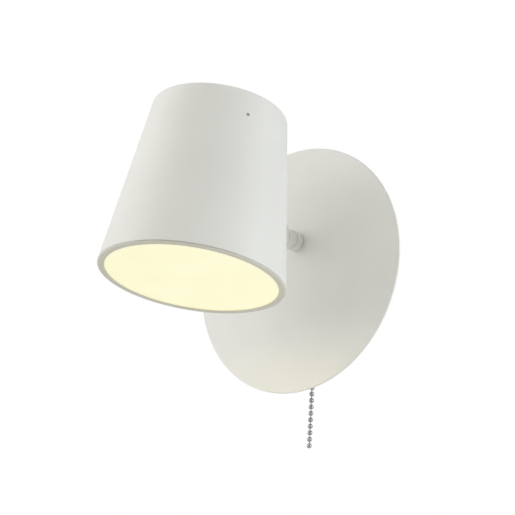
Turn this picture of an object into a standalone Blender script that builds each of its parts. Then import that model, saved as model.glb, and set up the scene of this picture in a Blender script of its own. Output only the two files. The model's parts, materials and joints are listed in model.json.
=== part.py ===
"""Wall reading light with a pull chain switch behind its round plate.

The scene is in metres with +Z up. Sizes below are in millimetres, and the shape helpers convert them.
The origin is the middle of the wall bracket's back face, on the wall. The light reaches out along -Y,
and "out" always means the distance from the wall. Pieces that touch on the real light are kept GAP apart.
"""

import math

import bmesh
import bpy
from mathutils import Matrix, Vector

MM = 0.001
GAP = 0.3

# Round plate and the housing behind it
DISC_RADIUS = 80.0
DISC_THICKNESS = 1.5
DISC_OUT = 35.0
DISC_EDGE = 0.5
DISC_BACK = DISC_OUT - DISC_THICKNESS
HOUSING_RADIUS = 48.0
HOUSING_WALL = 1.2
HOUSING_BACK = 0.5
HOUSING_FRONT = DISC_BACK - GAP
HOUSING_CORNER = 1.5
HOUSING_INNER = HOUSING_RADIUS - HOUSING_WALL
FRONT_WALL_INSIDE = HOUSING_FRONT - HOUSING_WALL
STUD_CIRCLE = 39.0
STUD_ANGLES = (90.0, 215.0, 325.0)
STUD_RADIUS = 1.5
STUD_END = 28.0
NUT_HEIGHT = 2.2

# Wall bracket
STRAP_THICKNESS = 2.0
STRAP_HALF_LENGTH = 45.6
STRAP_HALF_WIDTH = 12.0
STRAP_SHOULDER = 38.0
TAB_HALF_WIDTH = 7.0
TAB_REACH = 16.0
WALL_SLOT_X = 24.0
WALL_SLOT_HALF = 5.0
WALL_SLOT_RADIUS = 2.5
SIDE_SCREW_OUT = 9.0
SIDE_SCREW_RADIUS = 1.9
EARTH_X = 36.0

# Arm and its swivel
ARM_Z = 17.7
ARM_RADIUS = 6.25
COLLAR_RADIUS = 6.4
COLLAR_FOOT_RADIUS = 5.5
COLLAR_FOOT = 2.2
COLLAR_LENGTH = 6.5
COLLAR_CHAMFER = 0.4
SPINDLE_RADIUS = 4.7
SPINDLE_BORE = 3.2
SPINDLE_BACK = 24.8
SPINDLE_FRONT = 45.5
CLEAR_SPINDLE = SPINDLE_RADIUS + GAP
STOP_REACH = 9.4
STOP_PIN_OFFSET = 8.3
ARM_START = DISC_OUT + GAP + COLLAR_LENGTH + GAP

# Knuckle: two half drums side by side on one screw
PIVOT_OUT = DISC_OUT + 22.5
DRUM_RADIUS = 7.6
DRUM_HALF = 6.4
DRUM_CAVITY = 6.4
DRUM_FLOOR = 4.9
HUB_RADIUS = 3.9
DRUM_PLAY = 0.15
PIVOT_SCREW_RADIUS = 1.5
WIRE_HOLE_RADIUS = 1.7
WIRE_HOLE_OFFSET = 2.6
STEM_TIP_OUT = DISC_OUT + 50.0

# Shade: a cone leaning towards the wall, measured from the centre of its open rim
SHADE_RIM_OUT = DISC_OUT + 95.9
SHADE_RIM_Z = -29.0
SHADE_TILT = 8.08
SHADE_HEIGHT = 108.9
SHADE_RIM_RADIUS = 56.25
SHADE_TOP_RADIUS = 41.45
SHADE_WALL = 1.6
SHADE_EDGE = 1.0
SHADE_TOP_EDGE = 2.0
SHADE_TAPER = (SHADE_RIM_RADIUS - SHADE_TOP_RADIUS) / SHADE_HEIGHT

# Light engine inside the shade, heights from the rim plane
BEZEL_INNER = 51.9
BEZEL_LOW = -0.5
BEZEL_LEDGE = 0.2
BEZEL_SKIRT = 0.6
BEZEL_SKIRT_TOP = 4.5
DIFFUSER_LOW = BEZEL_LEDGE + GAP
DIFFUSER_HIGH = DIFFUSER_LOW + 2.5
REFLECTOR_LOW = DIFFUSER_HIGH + GAP
REFLECTOR_THICKNESS = 0.8
BOARD_RADIUS = 31.0
BOARD_LOW = 61.0
BOARD_HIGH = 62.6
BOARD_SCREW_CIRCLE = 27.0
BOARD_SCREW_ANGLES = (15.0, 195.0)
LED_SIZE = 3.0
LED_HEIGHT = 0.7
LED_RINGS = ((10.0, 6), (20.0, 12))
SINK_LOW = BOARD_HIGH + GAP
SINK_PLATE = 4.0
SINK_TOP = 98.0
SINK_RADIUS = 36.0
SINK_HUB = 10.0
FIN_COUNT = 9
FIN_THICKNESS = 2.0
SET_SCREW_HEIGHT = 92.0
SET_SCREW_ANGLES = (336.4, 96.4, 216.4)
SET_SCREW_RADIUS = 0.9
SET_HOLE_RADIUS = 1.2

# Pull chain switch, standing in the bottom of the housing
CHAIN_OUT = 12.0
CHAIN_RADIUS = 1.6
CHAIN_TOP = -31.6
CHAIN_END = -111.2
SWITCH_HALF_WIDTH = 13.0
SWITCH_BACK = 4.5
SWITCH_SPLIT = 18.2
SWITCH_LID = 1.5
SWITCH_LOW = -44.4
SWITCH_HIGH = -17.0
SWITCH_WALL = 1.8
SWITCH_CAVITY_HALF = 9.6
RIVETS = ((-11.3, -21.5), (11.3, -40.0))
RIVET_RADIUS = 0.9
SWITCH_WIRE_Z = -27.0
NOZZLE_RADIUS = 4.7
NOZZLE_BORE = 2.3
NOZZLE_END = -53.5
NOZZLE_FLANGE_TOP = -41.4
PLUNGER_RADIUS = 3.6
PLUNGER_LOW = -31.3
PLUNGER_HIGH = -29.4
SPRING_RADIUS = 3.1
SPRING_WIRE = 0.3
SPRING_TURNS = 4
ROTOR_X = 4.2
ROTOR_Z = -24.0
ROTOR_RADIUS = 4.0
ROTOR_TEETH = 8
ROTOR_OUT = (9.5, 14.5)
ROTOR_AXLE_RADIUS = 1.0

# Driver and terminal block inside the housing
DRIVER_HALF_LENGTH = 27.0
DRIVER_Z = (-14.0, 7.5)
DRIVER_BACK = 14.0
DRIVER_FRONT = FRONT_WALL_INSIDE - GAP
DRIVER_WALL = 1.5
TERMINAL_X = (-37.0, -14.0)
TERMINAL_Z = (12.0, 25.0)
TERMINAL_BACK = 18.0
TERMINAL_POLES = (-33.2, -25.5, -17.8)

# Wires, as routes of (x, out, z)
WIRE_RADIUS = 0.8
LAMP_WIRE_RADIUS = 0.9
WIRE_STEP = 5.0

WHITE_PAINT = ((0.86, 0.86, 0.84), 0.0, 0.45)
OPAL = ((1.0, 0.96, 0.78), 0.0, 0.35)
REFLECTOR_WHITE = ((0.93, 0.93, 0.92), 0.0, 0.6)
NICKEL = ((0.62, 0.61, 0.60), 1.0, 0.22)
ZINC = ((0.58, 0.59, 0.60), 1.0, 0.38)
ALUMINIUM = ((0.74, 0.75, 0.76), 1.0, 0.42)
BRASS = ((0.78, 0.60, 0.28), 1.0, 0.3)
COPPER = ((0.80, 0.46, 0.32), 1.0, 0.3)
BOARD_WHITE = ((0.90, 0.90, 0.88), 0.0, 0.5)
BOARD_GREEN = ((0.05, 0.25, 0.12), 0.0, 0.5)
LED_YELLOW = ((0.95, 0.80, 0.25), 0.0, 0.4)
PLASTIC_WHITE = ((0.85, 0.85, 0.83), 0.0, 0.5)
PLASTIC_BLACK = ((0.03, 0.03, 0.035), 0.0, 0.45)
PLASTIC_NATURAL = ((0.82, 0.80, 0.72), 0.0, 0.4)
WIRE_BROWN = ((0.22, 0.10, 0.05), 0.0, 0.45)
WIRE_BLUE = ((0.05, 0.15, 0.50), 0.0, 0.45)
WIRE_GREEN = ((0.25, 0.50, 0.08), 0.0, 0.45)
WIRE_GREY = ((0.55, 0.55, 0.55), 0.0, 0.45)


# ---------------------------------------------------------------- frames

def outward(x=0.0, z=0.0):
    """A frame whose local Z leaves the wall, so that local height is the distance from the wall."""
    return Matrix.Translation((x * MM, 0, z * MM)) @ Matrix.Rotation(math.pi / 2, 4, "X")


def upright(x=0.0, out=0.0):
    """A frame whose local Z is up, over a point at that distance from the wall."""
    return Matrix.Translation((x * MM, -out * MM, 0))


def sideways(out, z):
    """A frame whose local Z is +X, for pins and drums that lie across the light."""
    return Matrix.Translation((0, -out * MM, z * MM)) @ Matrix.Rotation(math.pi / 2, 4, "Y")


def shade_frame():
    """The shade's own frame: its rim plane is local XY and its axis is local Z."""
    rim = Matrix.Translation((0, -SHADE_RIM_OUT * MM, SHADE_RIM_Z * MM))
    return rim @ Matrix.Rotation(-math.radians(SHADE_TILT), 4, "X")


def radial(frame, angle, height):
    """A frame whose local Z points out from the axis of another frame, at an angle and a height."""
    turn = Matrix.Rotation(math.radians(angle), 4, "Z")
    lift = Matrix.Translation((0, 0, height * MM))
    return frame @ lift @ turn @ Matrix.Rotation(math.pi / 2, 4, "Y")


# ---------------------------------------------------------------- shapes

def lathe(profile, steps=24):
    """Turns a closed outline of (radius, height) points about the local Z axis."""
    shape = bmesh.new()
    rings = []
    for radius, height in profile:
        count = steps if radius > 0 else 1
        angles = [2 * math.pi * (k + 0.5) / steps for k in range(count)]
        points = [(radius * math.cos(angle), radius * math.sin(angle), height) for angle in angles]
        rings.append([shape.verts.new(Vector(p) * MM) for p in points])
    for low, high in zip(rings, rings[1:] + rings[:1]):
        if len(low) == len(high) == 1:
            continue
        for k in range(steps):
            after = (k + 1) % steps
            corners = [low[k % len(low)], low[after % len(low)],
                       high[after % len(high)], high[k % len(high)]]
            shape.faces.new(list(dict.fromkeys(corners)))
    bmesh.ops.recalc_face_normals(shape, faces=shape.faces)
    return shape


def rod(radius, low, high, steps=24):
    """A plain round bar along local Z."""
    return lathe([(0, low), (radius, low), (radius, high), (0, high)], steps)


def ring(inner, outer, low, high, steps=24):
    """A flat-sided ring about local Z."""
    return lathe([(inner, low), (outer, low), (outer, high), (inner, high)], steps)


def prism(outline, low, high):
    """Extrudes an outline of (x, y) points along local Z."""
    shape = bmesh.new()
    bottom = [shape.verts.new(Vector((x, y, low)) * MM) for x, y in outline]
    face = shape.faces.new(bottom)
    grown = bmesh.ops.extrude_face_region(shape, geom=[face])["geom"]
    top = [item for item in grown if isinstance(item, bmesh.types.BMVert)]
    bmesh.ops.translate(shape, verts=top, vec=(0, 0, (high - low) * MM))
    bmesh.ops.recalc_face_normals(shape, faces=shape.faces)
    return shape


def block(x, out, z):
    """A box in row axes between two values of x, of distance from the wall and of z."""
    outline = [(x[0], -out[1]), (x[1], -out[1]), (x[1], -out[0]), (x[0], -out[0])]
    return prism(outline, z[0], z[1])


def polar(radius, degrees):
    """The (x, y) point at a radius and an angle."""
    return radius * math.cos(math.radians(degrees)), radius * math.sin(math.radians(degrees))


def hexagon(radius):
    """The corners of a hexagon with that radius over its corners."""
    return [polar(radius, 60 * k) for k in range(6)]


def rounded_corner(centre, radius, start, end, points=4):
    """Points of an arc from one angle to another, for rounding a corner of a profile."""
    return [(centre[0] + radius * math.cos(math.radians(start + (end - start) * k / (points - 1))),
             centre[1] + radius * math.sin(math.radians(start + (end - start) * k / (points - 1))))
            for k in range(points)]


def smooth_route(points, step):
    """Points along a smooth curve through the given (x, out, z) points, about step apart."""
    knots = [Vector((x, -out, z)) for x, out, z in points]
    knots = [2 * knots[0] - knots[1]] + knots + [2 * knots[-1] - knots[-2]]
    route = [knots[1]]
    for a, b, c, d in zip(knots, knots[1:], knots[2:], knots[3:]):
        pieces = max(1, round((c - b).length / step))
        for k in range(1, pieces + 1):
            t = k / pieces
            bend = (2 * b + (c - a) * t + (2 * a - 5 * b + 4 * c - d) * t * t
                    + (3 * b - a - 3 * c + d) * t * t * t)
            route.append(bend / 2)
    return route


# ---------------------------------------------------------------- objects

def material(name, finish):
    """A Principled material of one colour, metallic value and roughness."""
    colour, metallic, roughness = finish
    result = bpy.data.materials.new(name)
    result.use_nodes = True
    shader = result.node_tree.nodes["Principled BSDF"]
    shader.inputs["Base Color"].default_value = (*colour, 1.0)
    shader.inputs["Metallic"].default_value = metallic
    shader.inputs["Roughness"].default_value = roughness
    return result


def make(name, shape, finish=None, frame=Matrix(), parent=None):
    """One object from a shape, placed by its frame and carried by its parent empty."""
    mesh = bpy.data.meshes.new(name)
    shape.to_mesh(mesh)
    shape.free()
    mesh.shade_smooth()
    mesh.set_sharp_from_angle(angle=math.radians(32))
    item = bpy.data.objects.new(name, mesh)
    bpy.context.scene.collection.objects.link(item)
    item.matrix_world = frame
    if finish:
        mesh.materials.append(material(name, finish))
    if parent:
        carry(item, parent)
    return item


def carry(item, parent):
    """Parents an object to an empty without moving it."""
    bpy.context.view_layer.update()
    item.parent = parent
    item.matrix_parent_inverse = parent.matrix_world.inverted()


def combine(item, operation, shapes, frame=None):
    """A Boolean of an object with shapes, which stand in the object's own frame unless one is given."""
    for shape in shapes:
        place = item.matrix_world.copy() if frame is None else frame
        tool = make(item.name + "_" + operation.lower(), shape, frame=place)
        tool.hide_render = True
        tool.display_type = "WIRE"
        change = item.modifiers.new(tool.name, "BOOLEAN")
        change.operation = operation
        change.solver = "EXACT"
        change.object = tool


def cut(item, *shapes, frame=None):
    """Takes shapes away from an object."""
    combine(item, "DIFFERENCE", shapes, frame)


def fuse(item, *shapes, frame=None):
    """Joins shapes to an object as one solid."""
    combine(item, "UNION", shapes, frame)


def wire(name, points, radius, finish, parent=None, step=WIRE_STEP):
    """A round wire along a smooth route."""
    curve = bpy.data.curves.new(name, "CURVE")
    curve.dimensions = "3D"
    curve.bevel_depth = radius * MM
    curve.bevel_resolution = 2
    curve.use_fill_caps = True
    route = smooth_route(points, step)
    spline = curve.splines.new("POLY")
    spline.points.add(len(route) - 1)
    for point, place in zip(spline.points, route):
        point.co = (*(place * MM), 1)
    curve.materials.append(material(name, finish))
    item = bpy.data.objects.new(name, curve)
    bpy.context.scene.collection.objects.link(item)
    if parent:
        carry(item, parent)
    return item


def pivot(name, x, out, z):
    """An empty on a joint's axis, which carries the pieces that move."""
    empty = bpy.data.objects.new(name, None)
    empty.location = (x * MM, -out * MM, z * MM)
    bpy.context.scene.collection.objects.link(empty)
    bpy.context.view_layer.update()
    return empty


# ---------------------------------------------------------------- wall bracket and housing

def stud_places():
    """Where the welded studs stand behind the round plate, as (x, z)."""
    return [polar(STUD_CIRCLE, angle) for angle in STUD_ANGLES]


def wall_bracket():
    """A steel strap with shouldered ends, two bent tabs, two wall slots and an earth hole."""
    right = [(STRAP_SHOULDER, -STRAP_HALF_WIDTH), (STRAP_HALF_LENGTH, -TAB_HALF_WIDTH),
             (STRAP_HALF_LENGTH, TAB_HALF_WIDTH), (STRAP_SHOULDER, STRAP_HALF_WIDTH)]
    left = [(-x, -z) for x, z in right]
    bracket = make("wall_bracket", prism(right + left, 0, STRAP_THICKNESS), ZINC, outward())
    tab_inside = STRAP_HALF_LENGTH - STRAP_THICKNESS
    for side in (1, -1):
        span = sorted((side * tab_inside, side * STRAP_HALF_LENGTH))
        tab = block(span, (1.0, TAB_REACH), (-TAB_HALF_WIDTH, TAB_HALF_WIDTH))
        fuse(bracket, tab, frame=Matrix())
        centre = side * WALL_SLOT_X
        ends = (rounded_corner((centre + WALL_SLOT_HALF, 0), WALL_SLOT_RADIUS, -90, 90, 7)
                + rounded_corner((centre - WALL_SLOT_HALF, 0), WALL_SLOT_RADIUS, 90, 270, 7))
        cut(bracket, prism(ends, -1, STRAP_THICKNESS + 1))
        hole = rod(SIDE_SCREW_RADIUS + GAP, *sorted((side * 40, side * 50)), steps=16)
        cut(bracket, hole, frame=sideways(SIDE_SCREW_OUT, 0))
    cut(bracket, rod(2.3, -1, STRAP_THICKNESS + 1, 16), frame=outward(EARTH_X, 0))


def bracket_screws():
    """The earth screw in the strap, and the two thumb screws that hold the housing to its tabs."""
    earth = lathe([(0, 0.2), (2.0, 0.2), (2.0, 2.3), (3.8, 2.3), (3.8, 4.0), (3.0, 4.6), (0, 4.6)], 14)
    screw = make("earth_screw", earth, BRASS, outward(EARTH_X, 0))
    cut(screw, prism([(-5, -0.4), (5, -0.4), (5, 0.4), (-5, 0.4)], 3.8, 6))
    outline = [(0, 42.6), (SIDE_SCREW_RADIUS, 42.6), (SIDE_SCREW_RADIUS, 48.4), (4.0, 48.4),
               (4.0, 51.4), (3.4, 52.0), (0, 52.0)]
    for name, side in (("side_screw_right", 1), ("side_screw_left", -1)):
        shape = lathe([(radius, side * height) for radius, height in outline], 14)
        make(name, shape, NICKEL, sideways(SIDE_SCREW_OUT, 0))


def base_housing():
    """The drawn cup behind the plate, with holes for all that passes through it and the swivel's stop pin."""
    corner = rounded_corner((HOUSING_RADIUS - HOUSING_CORNER, HOUSING_FRONT - HOUSING_CORNER),
                            HOUSING_CORNER, 0, 90, 3)
    profile = ([(HOUSING_INNER, HOUSING_BACK), (HOUSING_RADIUS, HOUSING_BACK)] + corner
               + [(0, HOUSING_FRONT), (0, FRONT_WALL_INSIDE), (HOUSING_INNER, FRONT_WALL_INSIDE)])
    housing = make("base_housing", lathe(profile, 48), WHITE_PAINT, outward())
    cut(housing, rod(CLEAR_SPINDLE, 30, 35), frame=outward(0, ARM_Z))
    for x, z in stud_places():
        cut(housing, rod(STUD_RADIUS + GAP, 30, 35, 12), frame=outward(x, z))
    cut(housing, rod(NOZZLE_RADIUS + GAP, -50, -44, 24), frame=upright(0, CHAIN_OUT))
    for low, high in ((44, 50), (-50, -44)):
        cut(housing, rod(SIDE_SCREW_RADIUS + GAP, low, high, 16), frame=sideways(SIDE_SCREW_OUT, 0))
    pin = rod(1.0, FRONT_WALL_INSIDE - 2.1, FRONT_WALL_INSIDE + 0.5, 12)
    fuse(housing, pin, frame=outward(0, ARM_Z - STOP_PIN_OFFSET))


def front_disc():
    """The flat round plate, with a hole for the spindle and three studs welded to its back."""
    edge = DISC_RADIUS - DISC_EDGE
    back_edge = rounded_corner((edge, DISC_BACK + DISC_EDGE), DISC_EDGE, -90, 0, 2)
    front_edge = rounded_corner((edge, DISC_OUT - DISC_EDGE), DISC_EDGE, 0, 90, 2)
    profile = [(0, DISC_BACK)] + back_edge + front_edge + [(0, DISC_OUT)]
    disc = make("front_disc", lathe(profile, 64), WHITE_PAINT, outward())
    cut(disc, rod(CLEAR_SPINDLE, 30, 40, 20), frame=outward(0, ARM_Z))
    for x, z in stud_places():
        fuse(disc, rod(STUD_RADIUS, STUD_END, DISC_BACK + 0.5, 10), frame=outward(x, z))


def stud_nuts():
    """The nuts on the plate's studs, inside the housing."""
    high = FRONT_WALL_INSIDE - GAP
    for number, (x, z) in enumerate(stud_places(), 1):
        nut = make(f"stud_nut_{number}", prism(hexagon(3.2), high - NUT_HEIGHT, high), ZINC, outward(x, z))
        cut(nut, rod(STUD_RADIUS + GAP, 20, 35, 12))


# ---------------------------------------------------------------- swivel and arm

def arm_collar():
    """The fixed ring between the plate and the turning arm, on a narrower foot."""
    low = DISC_OUT + GAP
    high = low + COLLAR_LENGTH
    foot = low + COLLAR_FOOT
    profile = [(CLEAR_SPINDLE, low), (COLLAR_FOOT_RADIUS, low), (COLLAR_FOOT_RADIUS, foot),
               (COLLAR_RADIUS, foot), (COLLAR_RADIUS, high - COLLAR_CHAMFER),
               (COLLAR_RADIUS - COLLAR_CHAMFER, high), (CLEAR_SPINDLE, high)]
    make("arm_collar", lathe(profile, 32), WHITE_PAINT, outward(0, ARM_Z))


def swivel_pieces(swivel):
    """The hollow spindle with its stop washer, wave washer and nut, which turn with the arm."""
    place = outward(0, ARM_Z)
    spindle = ring(SPINDLE_BORE, SPINDLE_RADIUS, SPINDLE_BACK, SPINDLE_FRONT)
    make("swivel_spindle", spindle, ZINC, place, swivel)
    high = FRONT_WALL_INSIDE - GAP
    washer = make("stop_washer", ring(CLEAR_SPINDLE, 6.6, high - 1.0, high), ZINC, place, swivel)
    tab = prism([(-1.2, 6.0), (1.2, 6.0), (1.2, STOP_REACH), (-1.2, STOP_REACH)], high - 1.0, high)
    fuse(washer, tab)
    high -= 1.0 + GAP
    make("friction_washer", ring(CLEAR_SPINDLE, 7.2, high - 0.8, high), NICKEL, place, swivel)
    high -= 0.8 + GAP
    nut = make("spindle_nut", prism(hexagon(8.0), high - 3.7, high), ZINC, place, swivel)
    cut(nut, rod(CLEAR_SPINDLE, 20, 35))


def add_half_drum(stem, side, recess):
    """Ends a stem in one half of the knuckle drum, on the +X or -X side of the light's middle plane.

    The drum is turned as one piece: a hub with the screw hole and an outer recess, and a ring-shaped
    space for the wire, open towards the other half.
    """
    across = sideways(PIVOT_OUT, ARM_Z)
    inside_wall = (DRUM_CAVITY + DRUM_RADIUS) / 2
    cut(stem, rod(inside_wall, -9, 9, 32), frame=across)
    twin_space = rod(DRUM_RADIUS + GAP, *sorted((-side * 9, side * (DRUM_PLAY + 0.1))), steps=34)
    cut(stem, twin_space, frame=across)
    hole = PIVOT_SCREW_RADIUS + GAP
    recess_radius, recess_floor = recess
    outline = [(hole, DRUM_PLAY), (HUB_RADIUS, DRUM_PLAY), (HUB_RADIUS, DRUM_FLOOR),
               (DRUM_CAVITY, DRUM_FLOOR), (DRUM_CAVITY, DRUM_PLAY), (DRUM_RADIUS, DRUM_PLAY),
               (DRUM_RADIUS, DRUM_HALF - 0.6), (DRUM_RADIUS - 0.6, DRUM_HALF), (recess_radius, DRUM_HALF),
               (recess_radius, recess_floor), (hole, recess_floor)]
    fuse(stem, lathe([(radius, side * height) for radius, height in outline], 28), frame=across)


def arm_knuckle(swivel):
    """The arm: a round stem from the collar, ending in the knuckle's left half drum."""
    profile = [(0, ARM_START), (ARM_RADIUS - COLLAR_CHAMFER, ARM_START),
               (ARM_RADIUS, ARM_START + COLLAR_CHAMFER), (ARM_RADIUS, PIVOT_OUT - 3), (0, PIVOT_OUT - 3)]
    arm = make("arm_knuckle", lathe(profile, 28), WHITE_PAINT, outward(0, ARM_Z), swivel)
    add_half_drum(arm, -1, (3.5, 4.0))
    chamber_end = PIVOT_OUT - DRUM_RADIUS - 1.7
    cut(arm, rod(CLEAR_SPINDLE, ARM_START - 1, chamber_end))
    offset = outward(-WIRE_HOLE_OFFSET, ARM_Z + WIRE_HOLE_OFFSET)
    cut(arm, rod(WIRE_HOLE_RADIUS, chamber_end - 1.7, PIVOT_OUT - 4, 14), frame=offset)
    across = sideways(PIVOT_OUT, ARM_Z)
    nut = make("pivot_nut", prism(hexagon(3.1), -6.1, -4.3), ZINC, across, swivel)
    cut(nut, rod(PIVOT_SCREW_RADIUS + GAP, -9, 0, 16))


def arm_wire(swivel):
    """The lamp wire through the spindle, up into the left half of the knuckle."""
    middle = DRUM_CAVITY / 2 + HUB_RADIUS / 2
    lift = ARM_Z + WIRE_HOLE_OFFSET
    side = -WIRE_HOLE_OFFSET
    route = [(0, SPINDLE_BACK, ARM_Z), (0, 32, ARM_Z), (0, 40, ARM_Z), (-0.4, 44.2, ARM_Z + 0.4),
             (side, 48.4, lift), (side, 51.6, lift), (side, PIVOT_OUT - 3.7, ARM_Z + 3.7),
             (side, PIVOT_OUT, ARM_Z + middle)]
    wire("wire_arm", route, LAMP_WIRE_RADIUS, WIRE_GREY, swivel, 2.0)


# ---------------------------------------------------------------- head

def shade_radius(height, inset=0.0):
    """The shade's outer radius at a height over the rim plane, less an inset."""
    return SHADE_RIM_RADIUS - SHADE_TAPER * height - inset


def shade_outside(grow=0.0):
    """The outer side of the shade as profile points, from the rim up to the middle of its top."""
    top = SHADE_HEIGHT + grow
    lean = math.degrees(math.atan(SHADE_TAPER))
    radius = SHADE_TOP_EDGE
    centre = (shade_radius(top - radius) + grow - radius / math.cos(math.radians(lean)), top - radius)
    edge = rounded_corner(centre, radius, lean, 90, 3)
    return [(shade_radius(SHADE_EDGE) + grow, SHADE_EDGE)] + edge + [(0, top)]


def head_knuckle(tilt):
    """The head's right half drum, its stem to the shade, and the hollow tip that goes through the shade."""
    along = outward(0, ARM_Z)
    head = make("head_knuckle", rod(ARM_RADIUS, PIVOT_OUT + 3, PIVOT_OUT + 25, 28), WHITE_PAINT, along, tilt)
    cut(head, lathe(shade_outside(GAP), 56), frame=shade_frame())
    add_half_drum(head, 1, (3.2, 3.8))
    fuse(head, rod(SPINDLE_RADIUS, PIVOT_OUT + 15, STEM_TIP_OUT))
    bore_start = PIVOT_OUT + DRUM_RADIUS + 1.4
    cut(head, rod(SPINDLE_BORE, bore_start, STEM_TIP_OUT + 1, 20))
    offset = outward(WIRE_HOLE_OFFSET, ARM_Z + WIRE_HOLE_OFFSET)
    cut(head, rod(WIRE_HOLE_RADIUS, PIVOT_OUT + 4, bore_start + 3.5, 14), frame=offset)


def pivot_screw(tilt):
    """The knuckle's clamping screw with the spring washer under its head."""
    across = sideways(PIVOT_OUT, ARM_Z)
    outline = [(0, -5.9), (PIVOT_SCREW_RADIUS, -5.9), (PIVOT_SCREW_RADIUS, 4.9), (2.9, 4.9),
               (2.9, 5.9), (2.4, 6.3), (0, 6.3)]
    screw = make("pivot_screw", lathe(outline, 20), NICKEL, across, tilt)
    cut(screw, prism(hexagon(1.3), 5.3, 7))
    make("pivot_washer", ring(PIVOT_SCREW_RADIUS + GAP, 2.9, 4.1, 4.6, 20), NICKEL, across, tilt)


def stem_fixings(tilt):
    """The washer and the nut that hold the stem inside the shade."""
    along = outward(0, ARM_Z)
    low = PIVOT_OUT + 20.4
    make("stem_washer", ring(CLEAR_SPINDLE, 8.5, low, low + 1.0), ZINC, along, tilt)
    nut = make("stem_nut", prism(hexagon(8.0), low + 1.3, low + 4.8), ZINC, along, tilt)
    cut(nut, rod(CLEAR_SPINDLE, low, low + 6))


def shade_shell(tilt):
    """The spun cone with a closed, rounded top, a stem hole at its back and three set screw holes."""
    ceiling = SHADE_HEIGHT - SHADE_WALL
    inside = [(0, ceiling), (shade_radius(ceiling, SHADE_WALL), ceiling),
              (shade_radius(SHADE_EDGE, SHADE_WALL), SHADE_EDGE)]
    shade = make("shade_shell", lathe(shade_outside() + inside, 56), WHITE_PAINT, shade_frame(), tilt)
    cut(shade, rod(CLEAR_SPINDLE, PIVOT_OUT + 15, PIVOT_OUT + 26), frame=outward(0, ARM_Z))
    for angle in SET_SCREW_ANGLES:
        hole = rod(SET_HOLE_RADIUS, 35, 50, 10)
        cut(shade, hole, frame=radial(shade_frame(), angle, SET_SCREW_HEIGHT))


def board_screw_frames():
    """Where the LED board's screws stand, in the shade's frame moved sideways."""
    places = [polar(BOARD_SCREW_CIRCLE, angle) for angle in BOARD_SCREW_ANGLES]
    return [shade_frame() @ Matrix.Translation((x * MM, y * MM, 0)) for x, y in places]


def heat_sink(tilt):
    """A finned aluminium block in the top of the shade, held by the three set screws."""
    outline = []
    for k in range(FIN_COUNT):
        angle = SET_SCREW_ANGLES[0] + 360 * k / FIN_COUNT
        half = math.degrees(math.asin(FIN_THICKNESS / 2 / SINK_HUB))
        half_end = math.degrees(math.asin(FIN_THICKNESS / 2 / SINK_RADIUS))
        outline += [polar(SINK_HUB, angle - half), polar(SINK_RADIUS, angle - half_end),
                    polar(SINK_RADIUS, angle + half_end), polar(SINK_HUB, angle + half)]
    plate_top = SINK_LOW + SINK_PLATE
    fins = prism(outline, plate_top - 0.5, SINK_TOP)
    sink = make("heat_sink", fins, ALUMINIUM, shade_frame(), tilt)
    fuse(sink, rod(SINK_RADIUS + 1, SINK_LOW, plate_top, 32))
    reach = shade_radius(SET_SCREW_HEIGHT, SHADE_WALL) - 2 * GAP
    for angle in SET_SCREW_ANGLES:
        place = radial(shade_frame(), angle, SET_SCREW_HEIGHT)
        fuse(sink, rod(3.5, 30, reach, 12), frame=place)
        cut(sink, rod(SET_HOLE_RADIUS, 36.5, reach + 1, 8), frame=place)
    for place in board_screw_frames():
        cut(sink, rod(1.8, SINK_LOW - 1, SINK_LOW + 3.6, 8), frame=place)


def set_screws(tilt):
    """Three small screws through the shade's side into the heat sink, sunk below the paint."""
    end = shade_radius(SET_SCREW_HEIGHT) - 0.8
    for number, angle in enumerate(SET_SCREW_ANGLES, 1):
        place = radial(shade_frame(), angle, SET_SCREW_HEIGHT)
        make(f"set_screw_{number}", rod(SET_SCREW_RADIUS, 37.0, end, 8), ZINC, place, tilt)


def led_pieces(tilt):
    """The round LED board under the heat sink, with its soldered emitters and its two screws."""
    board = make("led_board", rod(BOARD_RADIUS, BOARD_LOW, BOARD_HIGH, 32), BOARD_WHITE, shade_frame(), tilt)
    half = LED_SIZE / 2
    for radius, count in LED_RINGS:
        for k in range(count):
            x, y = polar(radius, 360 * (k + 0.5) / count)
            square = [(x - half, y - half), (x + half, y - half), (x + half, y + half), (x - half, y + half)]
            fuse(board, prism(square, BOARD_LOW - LED_HEIGHT, BOARD_LOW + 0.4))
    head = BOARD_LOW - GAP
    outline = [(0, head - 1.3), (2.2, head - 1.3), (2.6, head - 0.8), (2.6, head), (1.5, head),
               (1.5, SINK_LOW + 3.2), (0, SINK_LOW + 3.2)]
    for number, place in enumerate(board_screw_frames(), 1):
        cut(board, rod(1.8, BOARD_LOW - 1, BOARD_HIGH + 1, 8), frame=place)
        make(f"board_screw_{number}", lathe(outline, 10), ZINC, place, tilt)


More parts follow.
